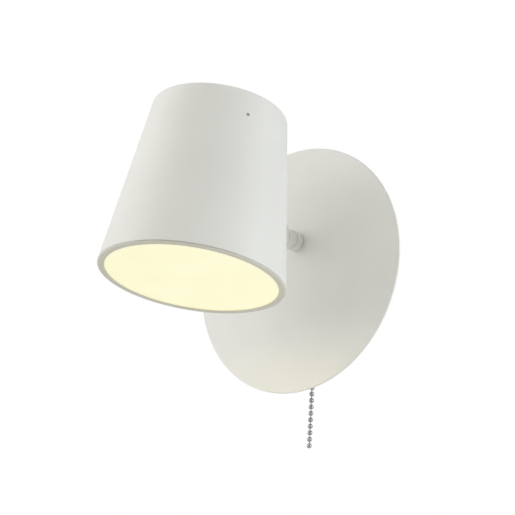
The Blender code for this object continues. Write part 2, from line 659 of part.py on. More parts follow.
def reflector_and_diffuser(tilt):
    """The white cone that spreads the light, the opal disc and the skirted ring that holds the disc."""
    place = shade_frame()
    high = BOARD_LOW - GAP
    small = BOARD_RADIUS - 0.8
    wide = BEZEL_INNER + 0.4
    thick = REFLECTOR_THICKNESS
    cone = [(small, high), (wide, REFLECTOR_LOW), (wide + thick, REFLECTOR_LOW), (small + thick, high)]
    make("reflector", lathe(cone, 40), REFLECTOR_WHITE, place, tilt)
    disc_radius = shade_radius(DIFFUSER_HIGH, SHADE_WALL) - 2 * GAP - BEZEL_SKIRT
    make("diffuser", rod(disc_radius, DIFFUSER_LOW, DIFFUSER_HIGH, 56), OPAL, place, tilt)
    flange_top = SHADE_EDGE - GAP
    skirt_foot = shade_radius(SHADE_EDGE, SHADE_WALL) - GAP
    skirt_head = shade_radius(BEZEL_SKIRT_TOP, SHADE_WALL) - GAP
    section = [(BEZEL_INNER, BEZEL_LOW), (SHADE_RIM_RADIUS, BEZEL_LOW),
               (shade_radius(flange_top), flange_top), (skirt_foot, flange_top),
               (skirt_head, BEZEL_SKIRT_TOP), (skirt_head - BEZEL_SKIRT, BEZEL_SKIRT_TOP),
               (skirt_foot - BEZEL_SKIRT, BEZEL_LEDGE), (BEZEL_INNER, BEZEL_LEDGE)]
    make("bezel_ring", lathe(section, 56), WHITE_PAINT, place, tilt)


def head_wire(tilt):
    """The lamp wire from the right half of the knuckle, through the stem, to the edge of the LED board."""
    middle = DRUM_CAVITY / 2 + HUB_RADIUS / 2
    side = WIRE_HOLE_OFFSET
    lift = ARM_Z + WIRE_HOLE_OFFSET
    board_edge = shade_frame() @ Vector((0, (BOARD_RADIUS + 1.8) * MM, (BOARD_LOW + 0.8) * MM))
    end_out, end_z = -board_edge.y / MM, board_edge.z / MM
    route = [(side, PIVOT_OUT, ARM_Z + middle), (side, PIVOT_OUT + 3.7, ARM_Z + 3.7),
             (side, PIVOT_OUT + 6.5, lift), (side, PIVOT_OUT + 9.0, lift),
             (1.3, PIVOT_OUT + 12.4, ARM_Z + 1.3), (0, PIVOT_OUT + 16, ARM_Z),
             (0, PIVOT_OUT + 22, ARM_Z), (0, STEM_TIP_OUT + 0.5, ARM_Z + 0.2),
             (0, STEM_TIP_OUT + 2.6, ARM_Z + 3.5), (0, STEM_TIP_OUT + 2.4, ARM_Z + 9),
             (0, end_out - 2.5, end_z - 1.0), (0, end_out, end_z)]
    wire("wire_head", route, LAMP_WIRE_RADIUS, WIRE_GREY, tilt, 2.0)


# ---------------------------------------------------------------- pull chain switch

def switch_case():
    """The switch's moulded tray, open towards the plate, with holes for nozzle, rivets and wires."""
    body = block((-SWITCH_HALF_WIDTH, SWITCH_HALF_WIDTH), (SWITCH_BACK, SWITCH_SPLIT),
                 (SWITCH_LOW, SWITCH_HIGH))
    case = make("switch_case", body, PLASTIC_BLACK)
    room = block((-SWITCH_CAVITY_HALF, SWITCH_CAVITY_HALF), (SWITCH_BACK + SWITCH_WALL, SWITCH_SPLIT + 1),
                 (SWITCH_LOW + SWITCH_WALL, SWITCH_HIGH - SWITCH_WALL))
    cut(case, room)
    cut(case, rod(NOZZLE_RADIUS + GAP, SWITCH_LOW - 1, SWITCH_LOW + 3), frame=upright(0, CHAIN_OUT))
    for x, z in RIVETS:
        cut(case, rod(RIVET_RADIUS + GAP, SWITCH_BACK - 1, SWITCH_SPLIT + 1, 8), frame=outward(x, z))
    for side in (1, -1):
        hole = rod(1.3, *sorted((side * 10.8, side * 14)), steps=8)
        cut(case, hole, frame=sideways(CHAIN_OUT, SWITCH_WIRE_Z))


def switch_lid():
    """The flat lid on the tray, and the two rivets through both."""
    low = SWITCH_SPLIT + GAP
    plate = block((-SWITCH_HALF_WIDTH, SWITCH_HALF_WIDTH), (low, low + SWITCH_LID), (SWITCH_LOW, SWITCH_HIGH))
    lid = make("switch_lid", plate, PLASTIC_BLACK)
    head = low + SWITCH_LID + GAP
    foot = SWITCH_BACK - GAP
    outline = [(0, foot - 0.5), (1.5, foot - 0.5), (1.5, foot), (RIVET_RADIUS, foot),
               (RIVET_RADIUS, head), (1.5, head), (1.5, head + 0.5), (0, head + 0.5)]
    for number, (x, z) in enumerate(RIVETS, 1):
        cut(lid, rod(RIVET_RADIUS + GAP, low - 1, low + SWITCH_LID + 1, 8), frame=outward(x, z))
        make(f"switch_rivet_{number}", lathe(outline, 8), BRASS, outward(x, z))


def switch_nozzle():
    """The threaded nozzle with a bell mouth for the chain, and its round nut under the housing."""
    place = upright(0, CHAIN_OUT)
    low = NOZZLE_FLANGE_TOP - 0.9
    mouth = NOZZLE_BORE + 1.5
    profile = [(NOZZLE_BORE, NOZZLE_FLANGE_TOP), (NOZZLE_BORE, NOZZLE_END + 2.4),
               (NOZZLE_BORE + 0.4, NOZZLE_END + 1.0), (mouth, NOZZLE_END), (NOZZLE_RADIUS - 0.3, NOZZLE_END),
               (NOZZLE_RADIUS, NOZZLE_END + 0.3), (NOZZLE_RADIUS, low), (5.8, low), (5.8, NOZZLE_FLANGE_TOP)]
    make("switch_nozzle", lathe(profile, 16), NICKEL, place)
    nut = [(NOZZLE_RADIUS + GAP, -51.4), (6.6, -51.4), (7.2, -50.8), (7.2, -48.9), (6.6, -48.4),
           (NOZZLE_RADIUS + GAP, -48.4)]
    make("nozzle_nut", lathe(nut, 16), NICKEL, place)


def return_spring():
    """The coil spring between the nozzle's flange and the plunger."""
    low = NOZZLE_FLANGE_TOP + GAP + SPRING_WIRE
    high = PLUNGER_LOW - GAP - SPRING_WIRE
    steps = 9
    route = []
    for k in range(SPRING_TURNS * steps + 1):
        x, y = polar(SPRING_RADIUS, 360 * k / steps)
        route.append((x, CHAIN_OUT - y, low + (high - low) * k / (SPRING_TURNS * steps)))
    wire("return_spring", route, SPRING_WIRE, NICKEL, step=9.0)


def plunger_and_chain(pull):
    """The sliding plunger with its pawl bar, and the bead chain hanging from it as a plain round bar."""
    place = upright(0, CHAIN_OUT)
    shape = rod(PLUNGER_RADIUS, PLUNGER_LOW, PLUNGER_HIGH)
    plunger = make("pull_plunger", shape, PLASTIC_NATURAL, place, pull)
    pawl = prism([(-2.8, -1.8), (-0.3, -1.8), (-0.3, 1.8), (-2.8, 1.8)], PLUNGER_HIGH - 0.5, -20.6)
    fuse(plunger, pawl)
    middle = (CHAIN_TOP + CHAIN_END) / 2
    route = [(0, CHAIN_OUT, CHAIN_TOP), (0, CHAIN_OUT, middle), (0, CHAIN_OUT, CHAIN_END)]
    wire("pull_chain", route, CHAIN_RADIUS, NICKEL, pull, 14.0)


def contact_rotor(turn):
    """The ratchet wheel that each pull turns by a quarter, with its brass contact plate."""
    place = outward(ROTOR_X, ROTOR_Z)
    outline = []
    for k in range(ROTOR_TEETH):
        angle = 360 * k / ROTOR_TEETH
        outline += [polar(ROTOR_RADIUS, angle), polar(ROTOR_RADIUS - 1.1, angle + 6)]
    rotor = make("ratchet_rotor", prism(outline, *ROTOR_OUT), PLASTIC_NATURAL, place, turn)
    cut(rotor, rod(ROTOR_AXLE_RADIUS + GAP, 5, 20, 14))
    low = ROTOR_OUT[1] + GAP
    plate = make("rotor_contact", prism(hexagon(3.6), low, low + 0.6), BRASS, place, turn)
    cut(plate, rod(ROTOR_AXLE_RADIUS + GAP, 5, 20, 14))


def switch_insides():
    """The rotor's axle and the two spring contact blades."""
    low = SWITCH_BACK + SWITCH_WALL + GAP
    axle = rod(ROTOR_AXLE_RADIUS, low, SWITCH_SPLIT - 0.1, 14)
    make("rotor_axle", axle, ZINC, outward(ROTOR_X, ROTOR_Z))
    ceiling = SWITCH_HIGH - SWITCH_WALL
    top = [(-8.6, ceiling - 0.9), (-8.6, ceiling - 5), (-8.1, ceiling - 5), (-8.1, ceiling - 0.9),
           (7.0, ceiling - 0.9), (7.0, ceiling - 0.4), (-8.6, ceiling - 0.4)]
    make("contact_blade_live", prism(top, 10, 14), COPPER, outward())
    side = [(9.3, -31.5), (9.3, -21.0), (8.8, -21.0), (8.8, -31.0), (6.0, -31.0), (6.0, -31.5)]
    make("contact_blade_load", prism(side, 10, 14), COPPER, outward())


# ---------------------------------------------------------------- driver, terminals and base wires

def led_driver():
    """The driver's tray, lid and circuit board."""
    split = DRIVER_BACK + DRIVER_WALL + GAP
    length = (-DRIVER_HALF_LENGTH, DRIVER_HALF_LENGTH)
    case = make("driver_case", block(length, (split, DRIVER_FRONT), DRIVER_Z), PLASTIC_WHITE)
    inner = DRIVER_HALF_LENGTH - DRIVER_WALL
    floor = DRIVER_FRONT - DRIVER_WALL
    low, high = DRIVER_Z[0] + DRIVER_WALL, DRIVER_Z[1] - DRIVER_WALL
    cut(case, block((-inner, inner), (split - 1, floor), (low, high)))
    make("driver_cover", block(length, (DRIVER_BACK, split - GAP), DRIVER_Z), PLASTIC_WHITE)
    board_span = (-inner + 1, inner - 1)
    shape = block(board_span, (floor - 3.2, floor - 1.6), (low + 1, high - 1))
    board = make("driver_board", shape, BOARD_GREEN)
    fuse(board, block((-8, 6), (split + 1.5, floor - 2.4), (low + 3, high - 3)))
    for x, z, radius in ((14, -3.2, 3.6), (-15, -6.5, 2.6), (-15, 0.5, 2.6)):
        fuse(board, rod(radius, split + 2, floor - 2.4, 12), frame=outward(x, z))


def terminal_block():
    """The mains terminal block, a stepped moulding with one clamp screw for each pole."""
    front = FRONT_WALL_INSIDE - GAP
    moulding = make("terminal_block", block(TERMINAL_X, (21, front), TERMINAL_Z), PLASTIC_NATURAL)
    fuse(moulding, block((TERMINAL_X[0] + 0.8, TERMINAL_X[1] - 0.8), (TERMINAL_BACK, 22),
                         (TERMINAL_Z[0] + 1.6, TERMINAL_Z[1] - 1.6)))
    middle = sum(TERMINAL_Z) / 2
    for number, x in enumerate(TERMINAL_POLES, 1):
        cut(moulding, rod(2.1, 17, 22.3, 10), frame=outward(x, middle))
        cut(moulding, rod(1.5, TERMINAL_Z[0] - 1, TERMINAL_Z[0] + 4, 8), frame=upright(x, 26))
        make(f"terminal_screw_{number}", rod(1.7, 19.5, 22.0, 10), ZINC, outward(x, middle))


def base_wires():
    """The fixed wires inside the housing."""
    entry = TERMINAL_Z[0] + 2
    live, neutral, earth = TERMINAL_POLES
    switch_side = SWITCH_HALF_WIDTH - 1.8
    driver_end = DRIVER_HALF_LENGTH + 0.5
    routes = {
        "wire_live": (WIRE_BROWN, [(live, 26, entry), (live - 0.6, 26, 8), (-36, 24, 1), (-36, 21, -8),
                                   (-32.5, 17, -18), (-26, 13, -25), (-19, CHAIN_OUT, SWITCH_WIRE_Z),
                                   (-switch_side, CHAIN_OUT, SWITCH_WIRE_Z)]),
        "wire_neutral": (WIRE_BLUE, [(neutral, 26, entry), (neutral - 0.8, 26, 9.6), (-30.4, 26, 7.0),
                                     (-32, 26, 3.4), (-30.6, 26, 0.6), (-driver_end, 26, 0)]),
        "wire_earth": (WIRE_GREEN, [(earth, 26, entry), (earth, 26, 11.4), (earth + 0.6, 22.5, 9.3),
                                    (-14, 14, 10), (0, 8, 14), (14, 6, 14), (25, 4.6, 9),
                                    (EARTH_X - 4.8, 3.4, 1.8)]),
        "wire_switched": (WIRE_BROWN, [(switch_side, CHAIN_OUT, SWITCH_WIRE_Z),
                                       (19, CHAIN_OUT, SWITCH_WIRE_Z), (26, 14.5, -23.5), (31, 19, -16),
                                       (32, 22.5, -9.5), (30.4, 24, -7), (driver_end, 24, -6.5)]),
        "wire_lamp": (WIRE_GREY, [(driver_end, 24, 2), (31, 23.5, 4), (31.5, 21, 9), (27, 18, 15),
                                  (18, 16.5, 19), (9, 16.5, 20), (3, 18.5, 18.6), (0, 22, ARM_Z),
                                  (0, SPINDLE_BACK - 0.6, ARM_Z)]),
    }
    for name, (finish, route) in routes.items():
        wire(name, route, WIRE_RADIUS, finish)


def main():
    for item in list(bpy.data.objects):
        bpy.data.objects.remove(item, do_unlink=True)
    swivel = pivot("arm_swivel_axis", 0, DISC_OUT, ARM_Z)
    tilt = pivot("head_tilt_axis", 0, PIVOT_OUT, ARM_Z)
    carry(tilt, swivel)
    pull = pivot("chain_pull_axis", 0, CHAIN_OUT, CHAIN_TOP)
    turn = pivot("rotor_axis", ROTOR_X, CHAIN_OUT, ROTOR_Z)
    for build in (wall_bracket, bracket_screws, base_housing, front_disc, stud_nuts, arm_collar,
                  switch_case, switch_lid, switch_nozzle, return_spring, switch_insides, led_driver,
                  terminal_block, base_wires):
        build()
    for build in (swivel_pieces, arm_knuckle, arm_wire):
        build(swivel)
    for build in (head_knuckle, pivot_screw, stem_fixings, shade_shell, heat_sink, set_screws, led_pieces,
                  reflector_and_diffuser, head_wire):
        build(tilt)
    plunger_and_chain(pull)
    contact_rotor(turn)


main()
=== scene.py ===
"""Looks for the wall reading light with a pull chain switch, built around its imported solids.

Sizes are in millimetres, and the shape helpers convert them to metres. "Out" is the distance from the
wall. Local Z of outward() leaves the wall, of upright() it points up, and of sideways() it is +X.
"""

import json
import math

import bmesh
import bpy
from mathutils import Matrix, Vector


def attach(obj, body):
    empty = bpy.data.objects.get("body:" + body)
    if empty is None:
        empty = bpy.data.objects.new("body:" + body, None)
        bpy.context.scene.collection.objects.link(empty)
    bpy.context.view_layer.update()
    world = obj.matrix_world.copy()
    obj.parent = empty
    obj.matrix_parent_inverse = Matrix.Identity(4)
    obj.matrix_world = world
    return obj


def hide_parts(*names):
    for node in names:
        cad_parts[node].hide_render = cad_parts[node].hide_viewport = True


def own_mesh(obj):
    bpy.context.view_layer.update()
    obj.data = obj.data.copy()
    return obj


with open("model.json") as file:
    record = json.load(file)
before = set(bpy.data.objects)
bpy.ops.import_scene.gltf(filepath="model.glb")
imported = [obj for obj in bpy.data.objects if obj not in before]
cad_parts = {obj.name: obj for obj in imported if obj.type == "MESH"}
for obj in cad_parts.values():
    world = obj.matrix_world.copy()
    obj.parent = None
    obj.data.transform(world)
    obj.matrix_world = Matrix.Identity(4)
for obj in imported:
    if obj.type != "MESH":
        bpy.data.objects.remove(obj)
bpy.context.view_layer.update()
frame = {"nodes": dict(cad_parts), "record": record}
BODY_OF = {node: body for body, nodes in frame["record"]["behaviour"]["bodies"].items() for node in nodes}
SLOT_OF = {part["node"]: part["material_slot"] for part in frame["record"]["subparts"]}

MM = 0.001
GAP = 0.3

# Camera: lens in millimetres, turns in degrees, and where it stands from the middle of the plate's front
CAMERA_LENS = 110.4
CAMERA_TURN = 40.76
CAMERA_RISE = 15.03
CAMERA_ROLL = 3.46
CAMERA_DISTANCE = 1005.25
PLATE_TO_THE_RIGHT = 24.19
PLATE_BELOW = 7.38

# Round plate and the housing behind it
DISC_RADIUS = 80.0
DISC_BACK = 33.5
DISC_OUT = 35.0
HOUSING_RADIUS = 48.0
HOUSING_WALL = 1.2
HOUSING_BACK = 0.5
HOUSING_FRONT = 33.2
FRONT_WALL_INSIDE = 32.0
STUD_CIRCLE = 39.0
STUD_ANGLES = (90.0, 215.0, 325.0)
STUD_RADIUS = 1.5
STUD_END = 28.0
STUD_NUT_HEIGHT = 2.2
STOP_PIN_OFFSET = 8.3

# Wall bracket
STRAP_THICKNESS = 2.0
STRAP_HALF_LENGTH = 45.6
STRAP_HALF_WIDTH = 12.0
TAB_HALF_WIDTH = 7.0
TAB_REACH = 16.0
WALL_SLOT_X = 24.0
WALL_SLOT_HALF = 5.0
WALL_SLOT_RADIUS = 2.5
SIDE_SCREW_OUT = 9.0
SIDE_HOLE_RADIUS = 2.2
EARTH_X = 36.0
EARTH_HOLE_RADIUS = 2.3

# Arm, swivel and knuckle
ARM_Z = 17.7
ARM_RADIUS = 6.25
COLLAR_RADIUS = 6.4
COLLAR_FOOT_RADIUS = 5.5
COLLAR_FOOT = 2.2
COLLAR_LENGTH = 6.5
COLLAR_CHAMFER = 0.4
SPINDLE_RADIUS = 4.7
SPINDLE_BORE = 3.2
SPINDLE_BACK = 24.8
SPINDLE_FRONT = 45.5
CLEAR_SPINDLE = SPINDLE_RADIUS + GAP
ARM_START = DISC_OUT + GAP + COLLAR_LENGTH + GAP
PIVOT_OUT = DISC_OUT + 22.5
DRUM_RADIUS = 7.6
DRUM_HALF = 6.4
DRUM_CAVITY = 6.4
DRUM_FLOOR = 4.9
HUB_RADIUS = 3.9
DRUM_PLAY = 0.15
PIVOT_HOLE_RADIUS = 1.8
WIRE_HOLE_OFFSET = 2.6
WIRE_HOLE_RADIUS = 1.7
STEM_TIP_OUT = DISC_OUT + 50.0

# Shade and light engine, from the middle of the open rim
SHADE_RIM_OUT = DISC_OUT + 95.9
SHADE_RIM_Z = -29.0
SHADE_TILT = 8.08
SHADE_HEIGHT = 108.9
SHADE_RIM_RADIUS = 56.25
SHADE_TOP_RADIUS = 41.45
SHADE_WALL = 1.6
SHADE_EDGE = 1.0
SHADE_TAPER = (SHADE_RIM_RADIUS - SHADE_TOP_RADIUS) / SHADE_HEIGHT
SHADE_LEVELS = [2.0 + 6.4 * k for k in range(17)]
BEZEL_INNER = 51.9
BEZEL_LOW = -0.5
BEZEL_LEDGE = 0.2
BEZEL_SKIRT = 0.6
BEZEL_SKIRT_TOP = 4.5
BEZEL_ROUND = 1.9
DIFFUSER_LOW = BEZEL_LEDGE + GAP
DIFFUSER_HIGH = DIFFUSER_LOW + 2.5
BOARD_RADIUS = 31.0
BOARD_LOW = 61.0
BOARD_HIGH = 62.6
BOARD_SCREW_CIRCLE = 27.0
BOARD_SCREW_ANGLES = (15.0, 195.0)
LED_RINGS = ((10.0, 6), (20.0, 12))
SET_SCREW_HEIGHT = 92.0
SET_SCREW_ANGLES = (336.4, 96.4, 216.4)
SET_SCREW_TIP = 37.0
SET_SCREW_RADIUS = 0.9
SET_HOLE_RADIUS = 1.02

# Pull chain switch
CHAIN_OUT = 12.0
CHAIN_TOP = -31.6
CHAIN_END = -111.2
BEAD_RADIUS = 1.6
BEAD_PITCH = 4.12
BEAD_COUNT = 19
LINK_RADIUS = 0.42
LINK_START = 1.2
CRIMP_RADIUS = 1.1
SWITCH_HALF_WIDTH = 13.0
SWITCH_BACK = 4.5
SWITCH_SPLIT = 18.2
SWITCH_LID = 1.5
SWITCH_WALL = 1.8
SWITCH_CORNER = 1.2
SWITCH_Z = (-44.4, -17.0)
RIVETS = ((-11.3, -21.5), (11.3, -40.0))
NOZZLE_RADIUS = 4.7
NOZZLE_BORE = 2.3
NOZZLE_END = -53.5
FLANGE_TOP = -41.4
SPRING_RADIUS = 3.1
SPRING_WIRE = 0.3
SPRING_Z = (-40.8, -31.9)
SPRING_TURNS = 6
PLUNGER_Z = (-31.3, -29.4)

# Driver and terminal block
DRIVER_HALF_LENGTH = 27.0
DRIVER_Z = (-14.0, 7.5)
DRIVER_BACK = 14.0
DRIVER_FRONT = FRONT_WALL_INSIDE - GAP
DRIVER_WALL = 1.5
DRIVER_SPLIT = DRIVER_BACK + DRIVER_WALL
DRIVER_FLOOR = DRIVER_FRONT - DRIVER_WALL
BOARD_BACK = DRIVER_FLOOR - 3.2
VENT_COUNT = 11
VENT_PITCH = 3.6
TERMINAL_X = (-37.0, -14.0)
TERMINAL_Z = (12.0, 25.0)
TERMINAL_BACK = 18.0
TERMINAL_STEP = 21.0
TERMINAL_POLES = (-33.2, -25.5, -17.8)
POLE_OUT = 26.0

# Wires
WIRE_RADIUS = 0.8
LAMP_WIRE_RADIUS = 0.9
SWITCH_WIRE_Z = -27.0
LEAD_OUT = 24.0

# Room, in metres: each side's direction as (right, up, towards the camera), and its light as a colour
ROOM_SIDES = (
    ((-1, 0, 0), (1.50, 1.50, 1.48)),
    ((0, 0, 1), (0.42, 0.41, 0.34)),
    ((0, 0, -1), (0.50, 0.49, 0.47)),
    ((0, 1, 0), (0.73, 0.72, 0.70)),
)
FLOOR_Z = -1.25
FLOOR_HALF = 6.5

# Softboxes: name, place, size, power in watts and colour. They face LIT_POINT.
SOFTBOXES = (
    ("right_box", (1.35, 0.55, 0.15), (0.9, 1.2), 14.2, (0.95, 1.0, 1.03)),
    ("high_box", (-1.0, -1.3, 0.5), (1.0, 1.0), 2.8, (1.0, 0.98, 0.95)),
    ("low_box", (-1.5, -0.8, -0.35), (0.5, 0.5), 1.0, (1.0, 1.0, 0.9)),
)
LIT_POINT = (0, -0.08, 0)
GLOW_POWER = 0.03
GLOW_COLOUR = (1.0, 0.9, 0.3)

# Steps round a lathed piece, from the largest to the smallest
FINE = 288
SMOOTH = 192
ROUND = 128
SMALL = 64
TINY = 32


# ---------------------------------------------------------------- frames

def outward(x=0.0, z=0.0):
    return Matrix.Translation((x * MM, 0, z * MM)) @ Matrix.Rotation(math.pi / 2, 4, "X")


def upright(x=0.0, out=0.0):
    return Matrix.Translation((x * MM, -out * MM, 0))


def sideways(out, z):
    return Matrix.Translation((0, -out * MM, z * MM)) @ Matrix.Rotation(math.pi / 2, 4, "Y")


def radial(place, angle, height):
    """A frame whose local Z points out from another frame's axis, at an angle and a height."""
    turn = Matrix.Rotation(math.radians(angle), 4, "Z")
    return place @ Matrix.Translation((0, 0, height * MM)) @ turn @ Matrix.Rotation(math.pi / 2, 4, "Y")


def moved(place, x, y):
    """A frame beside another one."""
    return place @ Matrix.Translation((x * MM, y * MM, 0))


ALONG_ARM = outward(0, ARM_Z)
ACROSS = sideways(PIVOT_OUT, ARM_Z)
CHAIN_LINE = upright(0, CHAIN_OUT)
SHADE = (Matrix.Translation((0, -SHADE_RIM_OUT * MM, SHADE_RIM_Z * MM))
         @ Matrix.Rotation(-math.radians(SHADE_TILT), 4, "X"))


# ---------------------------------------------------------------- shapes

def lathe(profile, steps=SMOOTH, wave=None):
    """Turns a closed outline of (radius, height) about local Z. wave(angle, radius, height) may bend it."""
    shape = bmesh.new()
    rings = []
    for radius, height in profile:
        ring = []
        for k in range(steps if radius > 0 else 1):
            angle = 2 * math.pi * (k + 0.5) / steps
            r, h = wave(angle, radius, height) if wave else (radius, height)
            ring.append(shape.verts.new(Vector((r * math.cos(angle), r * math.sin(angle), h)) * MM))
        rings.append(ring)
    for low, high in zip(rings, rings[1:] + rings[:1]):
        if len(low) == len(high) == 1:
            continue
        for k in range(steps):
            after = (k + 1) % steps
            corners = [low[k % len(low)], low[after % len(low)], high[after % len(high)], high[k % len(high)]]
            shape.faces.new(list(dict.fromkeys(corners)))
    bmesh.ops.recalc_face_normals(shape, faces=shape.faces)
    return shape


def rod(radius, low, high, steps=48):
    """A plain round bar along local Z."""
    return lathe([(0, low), (radius, low), (radius, high), (0, high)], steps)


def arc(centre, radius, start, end, points=6):
    """Points of an arc from one angle to another."""
    angles = [math.radians(start + (end - start) * k / (points - 1)) for k in range(points)]
    return [(centre[0] + radius * math.cos(a), centre[1] + radius * math.sin(a)) for a in angles]


def ring_profile(inner, outer, low, high, edge):
    """The outline of a ring whose four edges are rounded, with flats that end in a narrow margin."""
    margin = edge + 0.15
    return (arc((inner + edge, low + edge), edge, 180, 270, 5)
            + [(inner + margin, low), (outer - margin, low)]
            + arc((outer - edge, low + edge), edge, 270, 360, 5)
            + arc((outer - edge, high - edge), edge, 0, 90, 5)
            + [(outer - margin, high), (inner + margin, high)]
            + arc((inner + edge, high - edge), edge, 90, 180, 5))


def thread(radius, low, high, pitch, depth):
    """Outline points of a screw thread's ridges between two heights."""
    turns = max(1, round(abs(high - low) / pitch))
    step = (high - low) / turns
    points = []
    for k in range(turns):
        base = low + k * step
        points += [(radius - depth, base), (radius, base + 0.35 * step), (radius, base + 0.6 * step)]
    return points + [(radius - depth, high)]


def prism(outline, low, high):
    """Extrudes an outline of (x, y) points along local Z."""
    shape = bmesh.new()
    face = shape.faces.new([shape.verts.new(Vector((x, y, low)) * MM) for x, y in outline])
    grown = bmesh.ops.extrude_face_region(shape, geom=[face])["geom"]
    top = [item for item in grown if isinstance(item, bmesh.types.BMVert)]
    bmesh.ops.translate(shape, verts=top, vec=(0, 0, (high - low) * MM))
    bmesh.ops.recalc_face_normals(shape, faces=shape.faces)
    return shape


def rectangle(x, y):
    """The outline of a rectangle with those half sides."""
    return [(-x, -y), (x, -y), (x, y), (-x, y)]


def pad(x, z, edge, points=6):
    """The outline, seen from the front, of a rectangle with round corners."""
    return (arc((x[1] - edge, z[0] + edge), edge, -90, 0, points)
            + arc((x[1] - edge, z[1] - edge), edge, 0, 90, points)
            + arc((x[0] + edge, z[1] - edge), edge, 90, 180, points)
            + arc((x[0] + edge, z[0] + edge), edge, 180, 270, points))


def slab(x, z, edge, low, high):
    """A plate with round corners, for outward(), between two distances from the wall."""
    return prism(pad(x, z, edge), low, high)


def polar(radius, degrees):
    return radius * math.cos(math.radians(degrees)), radius * math.sin(math.radians(degrees))


def hexagon(radius):
    """The corners of a hexagon with that radius over its corners."""
    return [polar(radius, 60 * k) for k in range(6)]


def add_shape(shape, other):
    """Adds another shape's faces to a shape."""
    mesh = bpy.data.meshes.new("part")
    other.to_mesh(mesh)
    other.free()
    shape.from_mesh(mesh)
    bpy.data.meshes.remove(mesh)


def smooth_route(points, step):
    """Points along a smooth curve through the given (x, out, z) points, about step apart."""
    knots = [Vector((x, -out, z)) for x, out, z in points]
    knots = [2 * knots[0] - knots[1]] + knots + [2 * knots[-1] - knots[-2]]
    route = [knots[1]]
    for a, b, c, d in zip(knots, knots[1:], knots[2:], knots[3:]):
        pieces = max(1, round((c - b).length / step))
        for k in range(1, pieces + 1):
            t = k / pieces
            bend = (2 * b + (c - a) * t + (2 * a - 5 * b + 4 * c - d) * t * t
                    + (3 * b - a - 3 * c + d) * t * t * t)
            route.append(bend / 2)
    return route


def tube(route, radius, sides=16):
    """A round tube along a list of vectors. Two stripes along it take the second material."""
    shape = bmesh.new()
    side = Vector((0.31, 0.23, 0.92))
    rings = []
    for k, point in enumerate(route):
        along = (route[min(k + 1, len(route) - 1)] - route[max(k - 1, 0)]).normalized()
        side = (side - along * side.dot(along)).normalized()
        other = along.cross(side)
        angles = [2 * math.pi * n / sides for n in range(sides)]
        spokes = [math.cos(a) * side + math.sin(a) * other for a in angles]
        rings.append([shape.verts.new((point + radius * spoke) * MM) for spoke in spokes])
    for low, high in zip(rings, rings[1:]):
        for n in range(sides):
            after = (n + 1) % sides
            face = shape.faces.new((low[n], low[after], high[after], high[n]))
            face.material_index = int(n % (sides // 2) in (0, 1))
    shape.faces.new(rings[0][::-1])
    shape.faces.new(rings[-1])
    bmesh.ops.recalc_face_normals(shape, faces=shape.faces)
    return shape


# ---------------------------------------------------------------- objects

def new_object(name, shape, place):
    mesh = bpy.data.meshes.new(name)
    shape.to_mesh(mesh)
    shape.free()
    item = bpy.data.objects.new(name, mesh)
    bpy.context.scene.collection.objects.link(item)
    item.matrix_world = place
    shade(item)
    return item


def shade(item, angle=38):
    """Smooth shading, with edges steeper than the angle kept sharp."""
    item.data.shade_smooth()
    item.data.set_sharp_from_angle(angle=math.radians(angle))


def piece(name, shape, place=Matrix(), node=None, body=None, looks=None):
    """A finished piece, with its CAD node hidden. The node gives its body and its material, unless a body or
    looks are given.
    """
    item = new_object(name, shape, place)
    for look in looks or [LOOKS[SLOT_OF[node]]]:
        item.data.materials.append(look)
    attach(item, body or BODY_OF[node])
    if node:
        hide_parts(node)
    return item


def bake(item):
    """Replaces an object's mesh by the one its modifiers make."""
    bpy.context.view_layer.update()
    evaluated = item.evaluated_get(bpy.context.evaluated_depsgraph_get())
    mesh = bpy.data.meshes.new_from_object(evaluated)
    old = item.data
    item.modifiers.clear()
    item.data = mesh
    bpy.data.meshes.remove(old)


def boolean(item, operation, shapes, place):
    for shape in shapes:
        tool = new_object("tool", shape, item.matrix_world.copy() if place is None else place)
        change = item.modifiers.new("boolean", "BOOLEAN")
        change.operation = operation
        change.solver = "EXACT"
        change.object = tool
        bake(item)
        bpy.data.objects.remove(tool)
    shade(item)


def cut(item, *shapes, place=None):
    boolean(item, "DIFFERENCE", shapes, place)


def fuse(item, *shapes, place=None):
    boolean(item, "UNION", shapes, place)


def keep_inside(item, *shapes, place=None):
    boolean(item, "INTERSECT", shapes, place)


def soften(item, width, segments=2, angle=38):
    """Rounds an object's sharp edges."""
    bevel = item.modifiers.new("soften", "BEVEL")
    bevel.width = width * MM
    bevel.segments = segments
    bevel.limit_method = "ANGLE"
    bevel.angle_limit = math.radians(angle)
    bevel.use_clamp_overlap = True
    bake(item)
    shade(item, 50)


# ---------------------------------------------------------------- materials

def add_node(look, kind, inputs=None, **settings):
    """Adds a shader node, with its inputs set to values or linked to sockets."""
    tree = look.node_tree
    node = tree.nodes.new(kind)
    for name, value in settings.items():
        setattr(node, name, value)
    for name, value in (inputs or {}).items():
        if isinstance(value, bpy.types.NodeSocket):
            tree.links.new(value, node.inputs[name])
        else:
            node.inputs[name].default_value = value
    return node


def object_place(look, stretch=(1, 1, 1)):
    place = add_node(look, "ShaderNodeTexCoord").outputs["Object"]
    return add_node(look, "ShaderNodeMapping", {"Vector": place, "Scale": stretch}).outputs["Vector"]


def grain(look, size, detail=2.0, stretch=(1, 1, 1)):
    """A noise pattern whose grains are about that many millimetres wide."""
    inputs = {"Vector": object_place(look, stretch), "Scale": 1 / (size * MM), "Detail": detail}
    return add_node(look, "ShaderNodeTexNoise", inputs).outputs["Fac"]


def cells(look, size, feature="F1"):
    """A pattern of irregular cells, each about that many millimetres wide."""
    inputs = {"Vector": object_place(look), "Scale": 1 / (size * MM)}
    return add_node(look, "ShaderNodeTexVoronoi", inputs, feature=feature)


